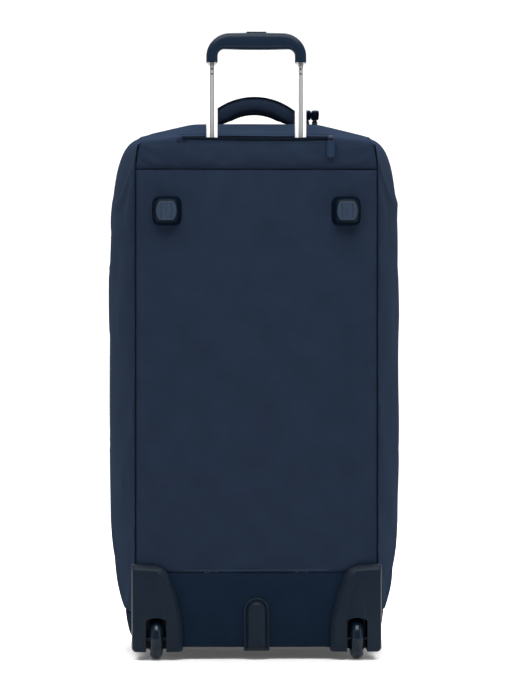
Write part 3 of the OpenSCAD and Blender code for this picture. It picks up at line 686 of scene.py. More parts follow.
flat_panel("back_cloth", lambda z: np.full(len(z), 172.4),
           edges_close(KICK + GAP, YOKE - GAP, 9.0, mm_close), ["back_panel"], "navy",
           crown=1.5, reach=45, wave=0.7, pucker=0.35, seed=9.0)


def well_hole(x, z):
    """Openings in the kick panel for the two wheels."""
    def inside(i, j):
        return 122 < abs(x[i, j] + x[i, j + 1]) / 2 < 164 and z[i + 1, j] < 74
    return inside


flat_panel("kick_cloth", back_width, edges_close(BASE + GAP, KICK - GAP, 6.0, mm_close), ["kick_panel"],
           "kick", hole=well_hole, cloth=False, crown=0.9, reach=25, wave=0.5, pucker=0.5, seed=5.0)

low_corner = edges_close(CORNER_U - 0.01, 1.6, 0.12, u_close)[:-4]
low_us = np.concatenate([-low_corner, fine(-1.6, 1.6, 0.16), low_corner[::-1]])
low_ys = np.concatenate([[WALL + GAP, 12, 20, 33], edges_close(46, 300, 12, (2, 5)),
                         [304, 308, 312, 315, 317.5, 319.2, DEPTH]])


def base_hole(i, j):
    """Openings in the base for the two wheels."""
    middle = abs(low_us[i] + low_us[i + 1]) / 2
    return 1.6 < middle < 2.85 and low_ys[j] < 45


panel("base_cloth", "bag", "dark_fabric", low_us, low_ys, materials=("base", "lining"), seams=(1, 1, 0, 1),
      stands_for=["bottom_panel"], hole=base_hole, cloth=False, crown=0.3, wave=0.3, roll=1.2)


# ---------------------------------------------------------------- lid
gusset_us = edges_close(CORNER_U + 0.01, 2 * LAST - CORNER_U - 0.01, 0.07, u_close)
gusset_ys = np.concatenate([edges_close(ZIP_Y + GAP, 300, 7.0, mm_close)[:-4],
                            [300, 304, 308, 311, 314, 316, 317.6, 318.8, 319.6, DEPTH]])
panel("lid_gusset_cloth", "lid", "navy_fabric", gusset_us, gusset_ys, seams=(1, 1, 0, 1),
      stands_for=["lid_gusset"], crown=0.4, reach=40, roll=1.4, seed=6.0, wave=1.0, pucker=0.7)

front_middle = (LID_LOW + 705) / 2
front_reach = (705 - LID_LOW) / 2


def swell(x, z):
    """Depth of the front panel's surface beyond the lid's rim."""
    row = np.interp(z, front_rows[:, 1], front_rows[:, 0])
    f = np.clip(np.abs(x) / row, 0, 1)
    return CROWN * (1 - f ** 4) * (1 - np.clip(np.abs(z - front_middle) / front_reach, 0, 1) ** 4)


front_us = edges_close(2.0, 11.0, 0.11, (0.03, 0.08))
front_rows = front_line(front_us)
front_rows = np.stack([front_rows[:, 0] - 0.8, front_middle + (front_rows[:, 1] - front_middle) * 0.997], 1)


def build_front():
    fractions = np.unique(np.concatenate([fine(-1, 1, 0.05), [-0.99, -0.975, -0.965, 0.965, 0.975, 0.99]]))
    x = front_rows[:, :1] * fractions[None, :]
    z = np.repeat(front_rows[:, 1:], len(fractions), axis=1)
    base = np.stack([x, DEPTH + swell(x, z), z], -1)
    lift = soft_relief(base, (1, 1, 1, 1), roll=1.5, wave=0.25, pucker=0.5, seed=12.0)
    lift = np.minimum(lift + 0.6 * drape(base, np.array([0, 1, 0]), cap=1.2) - 0.6, 0.0)
    made = Builder()
    made.slab(base + np.array([0, 1, 0]) * lift[..., None], base - np.array([0, WALL, 0]), slots=(0, 1))
    walled(made.make("front_cloth", "lid", "navy_fabric", ("navy", "lining"), ["front_panel"]))


build_front()


# ---------------------------------------------------------------- seams, piping and stitching
def shell_path(us, y, lift):
    """A path on the shell, lifted off it, and the shell's normals along it."""
    us = np.asarray(us, float)
    ys = np.broadcast_to(np.asarray(y, float), us.shape)
    return shell(us, ys) + shell_normal(us, ys) * lift, shell_normal(us, ys)


rim_u = fine(2.0, 22.0, 0.08)
rim = front_line(rim_u)
rim_path = np.stack([rim[:, 0], np.full(len(rim), DEPTH + 0.2), rim[:, 1]], 1)
rim_piping = Builder()
rim_piping.grid(sweep(rim_path, rounded_section(3.8, 3.8, 2.0, 10), (0, 1, 0)), wrap=True)
rim_piping.make("front_piping", "lid", "zip_tape", ("piping",))

cords = Builder()
back_side = back_line(np.linspace(3, SEAM_U, 300))
for sign in (-1, 1):
    z = fine(KICK + 8, 737, 6)
    outline_x = np.interp(z, back_side[:, 1], back_side[:, 0])
    cord = np.stack([sign * (outline_x + 0.2), np.full(len(z), 0.6), z], 1)
    cords.grid(sweep(cord, rounded_section(2.2, 2.6, 2.0, 8), (0, 1, 0)), wrap=True)
cords.make("back_seam_cords", "bag", "zip_tape", ("piping",))

kick_thread = Builder()
seam_x = fine(-104, 104, 4)
kick_seam = np.stack([seam_x, np.full(len(seam_x), -1.7), np.full(len(seam_x), KICK + 3.6)], 1)
stitches(kick_thread, kick_seam, (0, -1, 0))
kick_thread.make("kick_stitching", "bag", "navy_fabric", ("thread",))


def along_slit(x):
    """The outline's u at each x along the slit's near lip."""
    us = np.linspace(SEAM_U, 14, 300)
    return 2 * LAST - np.interp(x, -back_line(us)[:, 0], us)


def build_slit_trim():
    """Stitches along both lips of the slit, the stitched box at its closed end, and its near coil."""
    seam = Builder()
    near_us = along_slit(fine(-108, 112, 3))
    near_lip = hood_point(near_us, np.full(len(near_us), 0.87)) + np.array([0, -0.3, 0])
    stitches(seam, near_lip, (0, -0.9, 0.4), pitch=3.6, length=2.4, radius=0.34)
    far_lip, far_normal = shell_path(np.linspace(10.8, 13.2, 60), 39.0, 0.1)
    stitches(seam, far_lip, far_normal, pitch=3.6, length=2.4, radius=0.34)
    first, last = along_slit(np.array([-113.0, -99.0]))
    box = [hood_point(np.array(u), np.array(v)) + np.array([0, -0.6, 0])
           for u, v in ((first, 0.84), (last, 0.84), (last, 0.93), (first, 0.93), (first, 0.84))]
    stitches(seam, resample(box, 1.5), (0, -0.9, 0.4), pitch=2.4, length=1.9, radius=0.4)
    coil = Builder()
    coil_us = along_slit(fine(-106, 104, 3))
    for level, wide in ((0.955, 3.0), (0.985, 1.6)):
        strip = hood_point(coil_us, np.full(len(coil_us), level)) + np.array([0, -0.5, 0])
        coil.grid(sweep(strip, rounded_section(1.5, wide, 3.0, 12), (0, 0.5, 1)), wrap=True)
    coil.make("slit_lip_coil", "bag", "zip_tape", ("tape",))
    seam.make("slit_stitching", "bag", "navy_fabric", ("dark_thread",))


build_slit_trim()

zip_us = fine(CORNER_U + 0.12, 2 * LAST - CORNER_U - 0.12, 0.05)
for label, body, side in (("lid", "lid", 1), ("body", "bag", -1)):
    zip_seam = Builder()
    path, normals = shell_path(zip_us, ZIP_Y + side * (TAPE_HALF + 3), 0.3)
    stitches(zip_seam, path, normals, radius=0.3)
    zip_seam.make(f"{label}_zip_stitching", body, "navy_fabric", ("thread",))


# ---------------------------------------------------------------- zips
BOX_FACES = [(0, 1, 2, 3), (4, 5, 6, 7), (0, 1, 5, 4), (1, 2, 6, 5), (2, 3, 7, 6), (3, 0, 4, 7)]


def zip_half(name, body, side, node_name):
    """One tape of the main zip with its row of teeth; side is 1 towards the lid and -1 towards the back."""
    us = fine(CORNER_U + 0.15, 2 * LAST - CORNER_U - 0.15, 0.06)
    made = Builder()
    # The tape's section: distance from the middle of the zip, and lift off the shell.
    strip = [(GAP, 1.9), (2.4, 1.9), (3.0, 1.1), (6.0, 1.15), (11.4, 0.9), (12.0, 0.2)]
    order = strip if side > 0 else strip[::-1]
    grid_u, offsets = np.meshgrid(us, [o for o, _ in order], indexing="ij")
    lifts = np.broadcast_to([h for _, h in order], offsets.shape)
    ys = ZIP_Y + side * offsets
    base, normal = shell(grid_u, ys), shell_normal(grid_u, ys)
    made.slab(base + normal * lifts[..., None], base + normal * 0.12)
    path, up = shell_path(us, ZIP_Y + side * 1.4, 2.0)
    run = np.concatenate([[0], np.cumsum(np.linalg.norm(np.diff(path, axis=0), axis=1))])
    pitch = 2.6
    for k in range(int(run[-1] / pitch)):
        d = (k + (0.25 if side > 0 else 0.75)) * pitch
        p = np.array([np.interp(d, run, path[:, c]) for c in range(3)])
        q = np.array([np.interp(d + 0.5, run, path[:, c]) for c in range(3)])
        n = np.array([np.interp(d, run, up[:, c]) for c in range(3)])
        t = q - p
        t /= np.linalg.norm(t)
        s = np.cross(n, t)
        corners = [p + t * a * 0.75 + s * b * 1.25 + n * c for c in (-0.2, 0.7) for a, b in
                   ((-1, -1), (1, -1), (1, 1), (-1, 1))]
        made.add(corners, BOX_FACES, 1)
    return made.make(name, body, "zip_tape", ("tape", "teeth"), [node_name])


zip_half("main_zip_body_half", "bag", -1, "main_zip_tape")
zip_half("main_zip_lid_half", "lid", 1, "lid_zip_tape")


def build_end_tabs():
    """Padded patches over the lower ends of the main zip."""
    made = Builder()
    for mirrored in (False, True):
        us = np.linspace(CORNER_U + 0.02, CORNER_U + 0.125, 7)
        if mirrored:
            us = 2 * LAST - us
        ys = np.linspace(ZIP_Y - 12.8, ZIP_Y - GAP, 9)
        grid_u, grid_y = np.meshgrid(us, ys, indexing="ij")
        base, normal = shell(grid_u, grid_y), shell_normal(grid_u, grid_y)
        a, b = np.meshgrid(np.linspace(-1, 1, 7), np.linspace(-1, 1, 9), indexing="ij")
        lift = 0.6 + 3.0 * (1 - a ** 4) * (1 - b ** 4)
        made.slab(base + normal * lift[..., None], base + normal * 0.1)
    made.make("zip_end_patches", "bag", "zip_tape", ("webbing",), ["zip_end_tabs"])


build_end_tabs()


def build_handle_zip():
    """Two tapes with coils just inside the slit's lips."""
    made = Builder()
    xs = fine(-108, 108, 4)
    near_z = hood_point(np.interp(-xs, [-95, 95], [11, 13]), np.ones(len(xs)))[:, 2] - 2.4
    far_z = shell(np.interp(xs, [-95, 95], [13, 11]), SLIT_FAR)[:, 2] - 6.0
    # The far tape is real zip tape, but it stands tall and upright over the far lip's cut edge as painted shade
    # in the slit.
    for y, zs, tall in ((4.6, near_z, 4.6), (SLIT_FAR - 0.3, far_z, 8.4)):
        path = np.stack([xs, np.full(len(xs), y), zs], 1)
        made.grid(sweep(path, rounded_section(1.0, tall, 4.0, 12), (0, 0, 1)), wrap=True)
        inner_y = y + (0.9 if y < 10 else -0.9)
        for k in range(82):
            x = -107 + k * 2.6
            z = float(np.interp(x, xs, zs)) - tall / 2 + 1.2
            made.block((x, inner_y - 0.5, z - 1.1), (x + 1.5, inner_y + 0.5, z + 1.1), 0.3, 1, segments=1)
    made.make("handle_zip_tapes", "bag", "zip_tape", ("tape", "teeth"), ["handle_zip_tape"])


build_handle_zip()


def slider_and_puller(label, slider_node, puller_node, slider_body, puller_body, origin, lean, hang):
    """A zip slider at origin, leaning by lean degrees about x, with a puller hanging at hang degrees."""
    frame_of = Matrix.Translation(origin) @ Matrix.Rotation(math.radians(lean), 4, "X")
    made = Builder()
    rings = []
    for z, k in ((-1.4, 0.5), (-1.2, 0.62), (0.0, 0.66), (0.1, 0.96), (0.6, 1.0), (2.4, 1.0), (3.0, 0.86),
                 (3.05, 0.3)):
        turn = np.linspace(0, 2 * np.pi, 40, endpoint=False)
        nose = 4.5 * np.sign(np.cos(turn)) * np.abs(np.cos(turn)) ** 0.7
        wide = 5.4 * np.sign(np.sin(turn)) * np.abs(np.sin(turn)) ** 0.8
        waist = 1 - 0.16 * np.exp(-((nose - 1.0) / 2.0) ** 2)
        rings.append(np.stack([nose * k, wide * k * waist, np.full(40, z)], 1))
    body = np.array(rings)
    at = np.array(frame_of)
    made.grid(body @ at[:3, :3].T + at[:3, 3], wrap=True)
    half_bridge = [(3.4, 0, 2.6), (3.5, 0, 4.2), (2.9, 0, 5.4), (1.4, 0, 6.1)]
    bridge = np.array([(-x, y, z) for x, y, z in half_bridge] + half_bridge[::-1])
    bridge = resample(bridge, 0.8) @ at[:3, :3].T + at[:3, 3]
    made.grid(sweep(bridge, rounded_section(1.9, 3.4, 3.0, 12), at[:3, 1]), wrap=True)
    lug = Builder()
    lug.block((-2.7, -1.0, 2.4), (2.7, 1.0, 5.4), 0.4, turn=frame_of)
    made.add(lug.points, lug.faces)
    made.make(f"{label}_slider", slider_body, "zip_metal", ("enamel",), [slider_node])
    pivot = frame_of @ Vector((0, 0, 6))
    hung = np.array(Matrix.Translation(pivot) @ Matrix.Rotation(math.radians(hang), 4, "X"))
    tab = Builder()
    loop = [(2.4 * math.sin(a), 0.0, 2.6 * math.cos(a) - 3.0) for a in np.linspace(0, 2 * np.pi, 25)]
    loop = np.array([(x, y, z if z > -4 else z - 1.0) for x, y, z in loop]) @ hung[:3, :3].T + hung[:3, 3]
    tab.grid(sweep(loop, rounded_section(1.8, 1.8, 2.0, 10), hung[:3, 1], closed_ends=False), wrap=True)
    rings = []
    turn = np.linspace(0, 2 * np.pi, 48, endpoint=False)
    c, s = np.cos(turn), np.sin(turn)
    half_w = 6.0 * np.sign(c) * np.abs(c) ** 0.55
    half_h = 12.0 * np.sign(s) * np.abs(s) ** 0.42
    tab_z = -15.9
    # From the middle of the back face over its raised rim to the edge; the front mirrors it.
    half_rim = [(-1.0, 5.9), (-1.0, 2.0), (-1.05, 1.5), (-1.6, 1.1), (-1.7, 0.5), (-1.1, 0)]
    for y, inset in half_rim + [(-y, inset) for y, inset in half_rim[::-1]]:
        rings.append(np.stack([np.sign(half_w) * np.maximum(np.abs(half_w) - inset, 0), np.full(48, y),
                               tab_z + np.sign(half_h) * np.maximum(np.abs(half_h) - inset, 0)], 1))
    # The last few tenths of the middle are closed by a flat web.
    rings = [rings[0] * (0, 1, 0) + (0, 0, tab_z), *rings, rings[-1] * (0, 1, 0) + (0, 0, tab_z)]
    tab.grid(np.array(rings) @ hung[:3, :3].T + hung[:3, 3], wrap=True)
    tab.make(f"{label}_puller", puller_body, "puller_plastic", ("puller",), [puller_node])


main_z = node_box("main_slider_right")[0][2]
slider_and_puller("main_left", "main_slider_left", "main_puller_left", "main_slider_left", "main_puller_left",
                  (79.5, ZIP_Y - 1, main_z), 0, -120)
slider_and_puller("main_right", "main_slider_right", "main_puller_right", "bag", "main_puller_right",
                  (91.5, ZIP_Y - 1, main_z), 0, -120)
slider_and_puller("handle_zip", "handle_slider", "handle_puller", "handle_slider", "handle_puller",
                  (106, -3.6, LEDGE - 4), 75, -4)
slider_and_puller("pocket_zip", "pocket_slider", "pocket_puller", "pocket_slider", "pocket_puller",
                  (88, DEPTH + CROWN + 2.5, 658), -90, 0)


# ---------------------------------------------------------------- padded handles
def inflate(obj, voxel, pressure, cap):
    """Cloth pressed from inside, with each point's move capped; the result stays on the mesh."""
    bpy.context.view_layer.objects.active = obj
    for other in bpy.context.selected_objects:
        other.select_set(False)
    obj.select_set(True)
    remesh = obj.modifiers.new("Remesh", "REMESH")
    remesh.mode = "VOXEL"
    remesh.voxel_size = voxel * MM
    bpy.ops.object.modifier_apply(modifier=remesh.name)
    start = np.array([v.co for v in obj.data.vertices])
    cloth = obj.modifiers.new("Cloth", "CLOTH")
    cloth.settings.use_pressure = True
    cloth.settings.uniform_pressure_force = pressure
    cloth.settings.effector_weights.gravity = 0
    cloth.settings.quality = 4
    for number in range(1, SETTLING_FRAMES + 1):
        bpy.context.scene.frame_set(number)
    posed = obj.evaluated_get(bpy.context.evaluated_depsgraph_get())
    moved = np.array([v.co for v in posed.data.vertices])
    obj.modifiers.remove(cloth)
    bpy.context.scene.frame_set(1)
    step = moved - start
    far = np.linalg.norm(step, axis=1)[:, None]
    step *= np.minimum(1, cap * MM / np.maximum(far, 1e-9))
    for vertex, place_now in zip(obj.data.vertices, start + step):
        vertex.co = place_now
    smoother = obj.modifiers.new("Smooth", "SMOOTH")
    smoother.iterations = 4
    bpy.ops.object.modifier_apply(modifier=smoother.name)
    finer = obj.modifiers.new("Subdivision", "SUBSURF")
    finer.levels = finer.render_levels = 1
    bpy.ops.object.modifier_apply(modifier=finer.name)
    obj.data.polygons.foreach_set("use_smooth", [True] * len(obj.data.polygons))


# The haul handle: its centre, the radius of its middle line, its thickness and its depth.
HAUL_Y, HAUL_Z, HAUL_R, HAUL_T, HAUL_D = 150.0, TOP - 57, 82.7, 26.6, 28.0
HAUL_RINGS = 60


def haul_arc(radius, y):
    """An arc of the haul handle between the two places where it meets the bag's top."""
    low = math.asin(54.5 / radius)
    turn = np.linspace(math.pi - low, low, HAUL_RINGS)
    return np.stack([radius * np.cos(turn), np.full(HAUL_RINGS, y), HAUL_Z + radius * np.sin(turn)], 1)


pad = Builder()
taper = np.interp(np.linspace(-1, 1, HAUL_RINGS), [-1, -0.9, -0.72, 0.72, 0.9, 1],
                  [0.55, 0.66, 1, 1, 0.66, 0.55])
pad.grid(sweep(haul_arc(HAUL_R, HAUL_Y), rounded_section(HAUL_T - 2.4, HAUL_D - 2.4, 3.2, 28), (0, 1, 0),
               scale=taper), wrap=True)
haul = pad.make("haul_handle_pad", "bag", "navy_fabric", ("navy",), ["haul_handle"])
inflate(haul, 3.2, 4.0, 1.2)
piping = Builder()
for radius in (HAUL_R - HAUL_T / 2 + 1.9, HAUL_R + HAUL_T / 2 - 1.9):
    for y in (HAUL_Y - HAUL_D / 2 + 2.6, HAUL_Y + HAUL_D / 2 - 2.6):
        middle, edge = haul_arc(HAUL_R, HAUL_Y), haul_arc(radius, y)
        edge = middle + (edge - middle) * taper[:, None]
        piping.grid(sweep(edge, rounded_section(3.0, 3.0, 2.0, 10), (0, 1, 0)), wrap=True)
piping.make("haul_handle_piping", "bag", "zip_tape", ("piping",))


def carry_path(sign, inset=0.0):
    """Centre line of a carry handle's strap, from its lower end round to its upper end."""
    x0, x1, z0, z1, r = 72.0, 124.0 - inset, 290.0 + inset, 470.0 - inset, 22.0 - inset * 0.6
    points = [(x0, z0), (x1 - r, z0)]
    points += [(x1 - r + r * math.sin(a), z0 + r - r * math.cos(a)) for a in np.linspace(0, math.pi / 2, 9)[1:]]
    points += [(x1 - r + r * math.cos(a), z1 - r + r * math.sin(a)) for a in np.linspace(0, math.pi / 2, 9)]
    points += [(x0, z1)]
    path = np.array([(sign * x, DEPTH + 14.5, z) for x, z in points])
    return resample(path, 3.0)


for side, sign in (("left", -1), ("right", 1)):
    strap = Builder()
    strap.grid(sweep(carry_path(sign), rounded_section(23.4, 6.6, 3.0, 24), (0, 1, 0)), wrap=True)
    handle = strap.make(f"carry_handle_pad_{side}", f"carry_handle_{side}", "navy_fabric", ("webbing",),
                        [f"carry_handle_{side}"])
    edge = Builder()
    for inset in (-8.6, 8.6):
        stitches(edge, carry_path(sign, inset) + np.array([0, 2.75, 0]), (0, 1, 0))
    edge.make(f"carry_handle_stitching_{side}", f"carry_handle_{side}", "navy_fabric", ("thread",))

patch = Builder()
patch_thread = Builder()
low, high = node_box("carry_handle_anchors")
for sign in (-1, 1):
    for z in (290, 470):
        x = sign * 64.0
        face_y = high[1] - 0.1
        patch.block((x - 17.5, low[1] + 0.05, z - 14.6), (x + 17.5, face_y, z + 14.6), 0.9, segments=3)
        # Round the patch and then across it.
        corners = np.array([(x + a * 14, face_y, z + b * 11)
                            for a, b in ((-1, -1), (1, -1), (1, 1), (-1, 1), (-1, -1), (1, 1))])
        stitches(patch_thread, resample(corners, 2.0), (0, 1, 0), radius=0.28)
patch.make("carry_handle_patches", "lid", "zip_tape", ("webbing",), ["carry_handle_anchors"])
patch_thread.make("carry_patch_stitching", "lid", "navy_fabric", ("thread",))


# ---------------------------------------------------------------- front pocket
POCKET_ZIP_Z = 658.0


def build_pocket():
    low, high = node_box("pocket_panel")
    s, t = np.meshgrid(edges_close(-1, 1, 0.05, (0.008, 0.02, 0.04)),
                       edges_close(-1, 1, 0.06, (0.01, 0.03, 0.06)), indexing="ij")
    x = (low[0] + high[0]) / 2 + s * (high[0] - low[0]) / 2
    z = (low[2] + high[2]) / 2 + t * (high[2] - low[2]) / 2
    rise = 0.9 + 3.0 * (1 - np.abs(s) ** 6) * (1 - np.abs(t) ** 6)
    bumps = np.array([noise.noise(Vector((a * 0.02, 3.0, b * 0.02))) for a, b in zip(x.ravel(), z.ravel())])
    rise += 0.5 * bumps.reshape(x.shape) * (1 - np.abs(s) ** 4) * (1 - np.abs(t) ** 4)
    face = np.full_like(x, low[1])
    made = Builder()
    made.slab(np.stack([x, face + rise, z], -1), np.stack([x, face, z], -1))
    made.make("pocket_cloth", "lid", "navy_fabric", ("navy",), ["pocket_panel"])
    row = Builder()
    xs, zs = (low[0] + 5, high[0] - 5), (low[2] + 5, high[2] - 4)
    path = np.array([(xs[a], low[1] + 1.9, zs[b]) for a, b in ((0, 1), (0, 0), (1, 0), (1, 1))])
    stitches(row, resample(path, 3.0), (0, 1, 0))
    row.make("pocket_stitching", "lid", "navy_fabric", ("thread",))
    low, high = node_box("pocket_zip_tape")
    tape = Builder()
    tape.block((low[0], low[1], low[2]), (high[0], low[1] + 1.1, high[2]), 0.5)
    for k in range(75):
        x = -99 + k * 2.64
        tape.block((x, low[1] + 1.0, POCKET_ZIP_Z - 2.2), (x + 1.5, high[1] - 0.05, POCKET_ZIP_Z + 2.2),
                   0.3, 1, segments=1)
    tape.make("pocket_zip", "lid", "zip_tape", ("tape", "teeth"), ["pocket_zip_tape"])


build_pocket()


# ---------------------------------------------------------------- moulded parts
def arc(cx, cz, r, a0, a1, count):
    """Points of an arc from a0 to a1 degrees."""
    return [(cx + r * math.cos(math.radians(a)), cz + r * math.sin(math.radians(a)))
            for a in np.linspace(a0, a1, count)]


WHEEL_X = 143.5


def wheel_slot(low):
    """Outline of a wheel's slot, from its inner foot over the wheel to its outer foot."""
    return [(129, low), (129, 56)] + arc(WHEEL_X, 50.4, 15.4, 158, 22, 15) + [(158, 56), (158, low)]


def housing_outline(inner, top, outer, low):
    """Outline of a housing's face with its wheel slot, drawn in by so much on each side."""
    x0, x1, z0, z1 = 105.5 + inner, 178.5 - outer, 11.5 + low, 137 - top

    def slant(z):
        return x0 + np.interp(z, [55, 116], [0.5, 15 if inner < 1 else 14.0])

    points = arc(x0 + 5, z0 + 5, 5, 180, 270, 7) + wheel_slot(z0)
    points += arc(x1 - 7, z0 + 7, 7, -90, 0, 8)
    points += arc(x1 - 2.5, z1 - 2.5, 2.5, 0, 88, 5)
    points += [(x1 - 20, z1 - 0.8), (x1 - 36, z1 - 2.0)]
    knee_x, knee_z, r = slant(116) + 22, z1 - 26.0, 22
    points += arc(knee_x + 3, knee_z + 1, r, 95, 172, 14)
    points += [(slant(95), 95), (slant(75), 75), (slant(55), 55), (x0, 40)]
    return np.array(points)


def build_housing(side, sign):
    """A wheel housing: its shell, the fairing over the wheel, the slot's inside and its feet."""
    def upright(flat, y):
        return np.stack([sign * flat[:, 0], np.full(len(flat), y), flat[:, 1]], 1)

    made = Builder()
    # Depth of each ring, and how far its inner, upper, outer and lower sides are drawn in.
    steps = ((-0.9, (0, 0, 0, 0)), (-7.2, (0, 0, 0, 0)), (-8.0, (0.4, 0.4, 0.1, 0.3)),
             (-12.8, (5.6, 6.6, 1.2, 0.9)), (-13.7, (6.6, 7.6, 1.7, 1.4)), (-14.0, (7.6, 8.6, 2.6, 2.2)))
    rings = np.array([upright(housing_outline(*inset), y) for y, inset in steps])
    made.grid(rings, wrap=True)
    count = rings.shape[1]
    made.add(rings[-1], [tuple(range(count))])
    made.add(rings[0], [tuple(range(count))])
    # The fairing above the wheel: a long bulge that tapers to a point.
    a, t = np.meshgrid(np.linspace(-1, 1, 21), np.linspace(0, 1, 24), indexing="ij")
    half = 14.0 * (1 - t ** 2)
    x = WHEEL_X + a * half
    z = 61.0 + 52.0 * t - 4.0 * (a ** 2) * (1 - t)
    y = -13.9 - 4.2 * (1 - np.abs(a) ** 2.2) * (1 - t) ** 0.7
    made.grid(np.stack([sign * x, y, z], -1))
    # Inside of the wheel slot, in the darker second material as painted shade in the recess, and the foot plate
    # under the bag.
    flat = np.array(wheel_slot(13))
    liner = np.array([upright(flat, y) for y in (-13.8, -6, 4, 14, 24, 34, 40)])
    made.grid(liner, 1)
    made.add(liner[-1], [tuple(range(len(flat)))], 1)
    for low_x, high_x in ((105.9, 129.0), (158.0, 175.2)):
        corners = sorted((sign * low_x, sign * high_x))
        made.block((corners[0], -1.0, 11.6), (corners[1], 59.4, 17.3), 1.6, segments=3)
    corners = sorted((sign * 128.5, sign * 158.5))
    made.block((corners[0], 40.5, 11.6), (corners[1], 59.4, 17.3), 1.2, segments=2)
    # The second material, the dark zip coil, is painted shade inside the wheel slot.
    made.make(f"wheel_housing_shell_{side}", "bag", "navy_plastic", ("housing", "teeth"),
              [f"wheel_housing_{side}"], sharp=28)


build_housing("left", -1)
build_housing("right", 1)


def build_skid():
    """The domed skid between the wheels, with a sunk groove round its crown."""
    made = Builder()
    turn = np.linspace(math.pi, 0, 33)

    def ring(half, y, low):
        side = [(-half, z) for z in np.linspace(low, 70.3, 26)[:-1]]
        bow = [(half * math.cos(a), 70.3 + half * math.sin(a)) for a in turn]
        flat = np.array(side + bow + [(x * -1, z) for x, z in side[::-1]])
        # Towards the floor the dome rounds back under the bag.
        under = np.clip((27 - flat[:, 1]) / 14, 0, 1)
        depth = y * np.sqrt(1 - 0.9 * under ** 2)
        return np.stack([flat[:, 0], depth, flat[:, 1]], 1)

    # Half width, depth and lowest point of each ring, from the rim to the crown.
    profile = [(18.5, -1.0, 15.0), (18.5, -3.4, 15.0), (17.7, -4.3, 14.6), (15.6, -4.4, 14.4),
               (14.6, -3.6, 14.0), (13.9, -3.4, 13.8), (13.3, -4.6, 13.5), (12.9, -7.4, 13.2),
               (11.6, -9.8, 13.0), (9.0, -11.2, 13.0), (5.5, -11.9, 13.0), (2.0, -12.0, 13.0),
               (0.0, -12.0, 13.0)]
    rings = np.array([ring(*row) for row in profile])
    made.grid(rings)
    made.block((-18.4, -4.2, 12.6), (18.4, 54.5, 17.2), 2.0, segments=3)
    made.make("centre_skid_shell", "bag", "navy_plastic", ("housing",), ["centre_skid"], sharp=50)


build_skid()


def square_ring(half_w, half_h, y, power, centre, count=72):
    """A superellipse in the plane at depth y."""
    turn = np.linspace(0, 2 * np.pi, count, endpoint=False)
    c, s = np.cos(turn), np.sin(turn)
    x = np.sign(c) * np.abs(c) ** (2 / power) * half_w
    z = np.sign(s) * np.abs(s) ** (2 / power) * half_h
    return np.stack([centre[0] + x, np.full(count, y), centre[1] + z], 1)


FOOT_X, FOOT_Z = 128.0, 641.5


def build_foot(side, sign):
    """A stand-off foot on the back and its ribbed pad. The left ones stand for the nodes that hold both."""
    centre = (sign * FOOT_X, FOOT_Z)
    top_centre = (sign * (FOOT_X + 1.0), FOOT_Z - 0.5)
    foot = Builder()
    rings = [square_ring(20.9, 20.9, -1.0, 4.4, centre), square_ring(21.0, 21.0, -3.4, 4.4, centre),
             square_ring(20.2, 20.2, -5.6, 4.2, centre), square_ring(19.0, 19.2, -11, 4.0, centre),
             square_ring(17.8, 17.8, -16.5, 3.8, top_centre), square_ring(16.6, 16.2, -19.4, 3.6, top_centre),
             square_ring(14.8, 14.2, -20.6, 3.4, top_centre), square_ring(4.0, 4.0, -20.9, 3.0, top_centre),
             square_ring(0.2, 0.2, -20.9, 2.0, top_centre)]
    foot.grid(np.array(rings), wrap=True)
    foot.make(f"back_foot_{side}", "bag", "navy_plastic", ("foot",), ["back_feet"] if sign < 0 else (),
              sharp=60)
    pad = Builder()
    rings = []
    face = [(k, -22.9) for k in np.linspace(0.88, 0.02, 24)]
    for half, y in ((1.0, -20.7), (1.0, -21.9), (0.97, -22.5), (0.93, -22.8), *face):
        ring = square_ring(12.6 * half, 13.4 * half, y, 7.0, top_centre, 144)
        across = ring[:, 0] - top_centre[0]
        upright = ring[:, 2] - top_centre[1]
        bow = np.cos(upright / 13.4 * 1.45)
        across = across * (0.86 + 0.32 * bow)
        ring[:, 0] = top_centre[0] + across
        wide = 1 + 0.18 * bow
        groove = sum(np.exp(-((across / wide - g) / 0.62) ** 4) for g in (-6.4, 0.0, 6.4))
        ring[:, 1] += groove * (np.abs(upright) < 11.0) * (half < 0.95)
        rings.append(ring)
    pad.grid(np.array(rings), wrap=True)
    pad.make(f"foot_pad_{side}", "bag", "foot_rubber", ("pad",), ["foot_pads"] if sign < 0 else (),
             sharp=70)


build_foot("left", -1)
build_foot("right", 1)


# ---------------------------------------------------------------- telescopic handle
# The grip: height of its legs' feet, width of a leg, and the bar's underside and top.
GRIP_Z, LEG_W, BAR_LOW, BAR_HIGH = 857.0, 16.8, 874.2, 897.4


def arch_path(half, high, r, crown_by):
    """Half widths and heights from the left leg's foot over the bar to the right leg's foot."""
    legs = [(-half, GRIP_Z + d) for d in (-1.8, 2.5)]
    over = arc(-half + r, high - r, r, 180, 90, 26)
    flat = [(x, high) for x in np.linspace(-half + r, half - r, 36)[1:-1]]
    back = arc(half - r, high - r, r, 90, 0, 26)
    points = np.array(legs + over + flat + back + [(half, GRIP_Z + d) for d in (2.5, -1.8)])
    crown = crown_by * np.cos(np.clip(points[:, 0] / half, -1, 1) * math.pi / 2)
    points[:, 1] += crown * (points[:, 1] > high - r * 0.9)
    return points


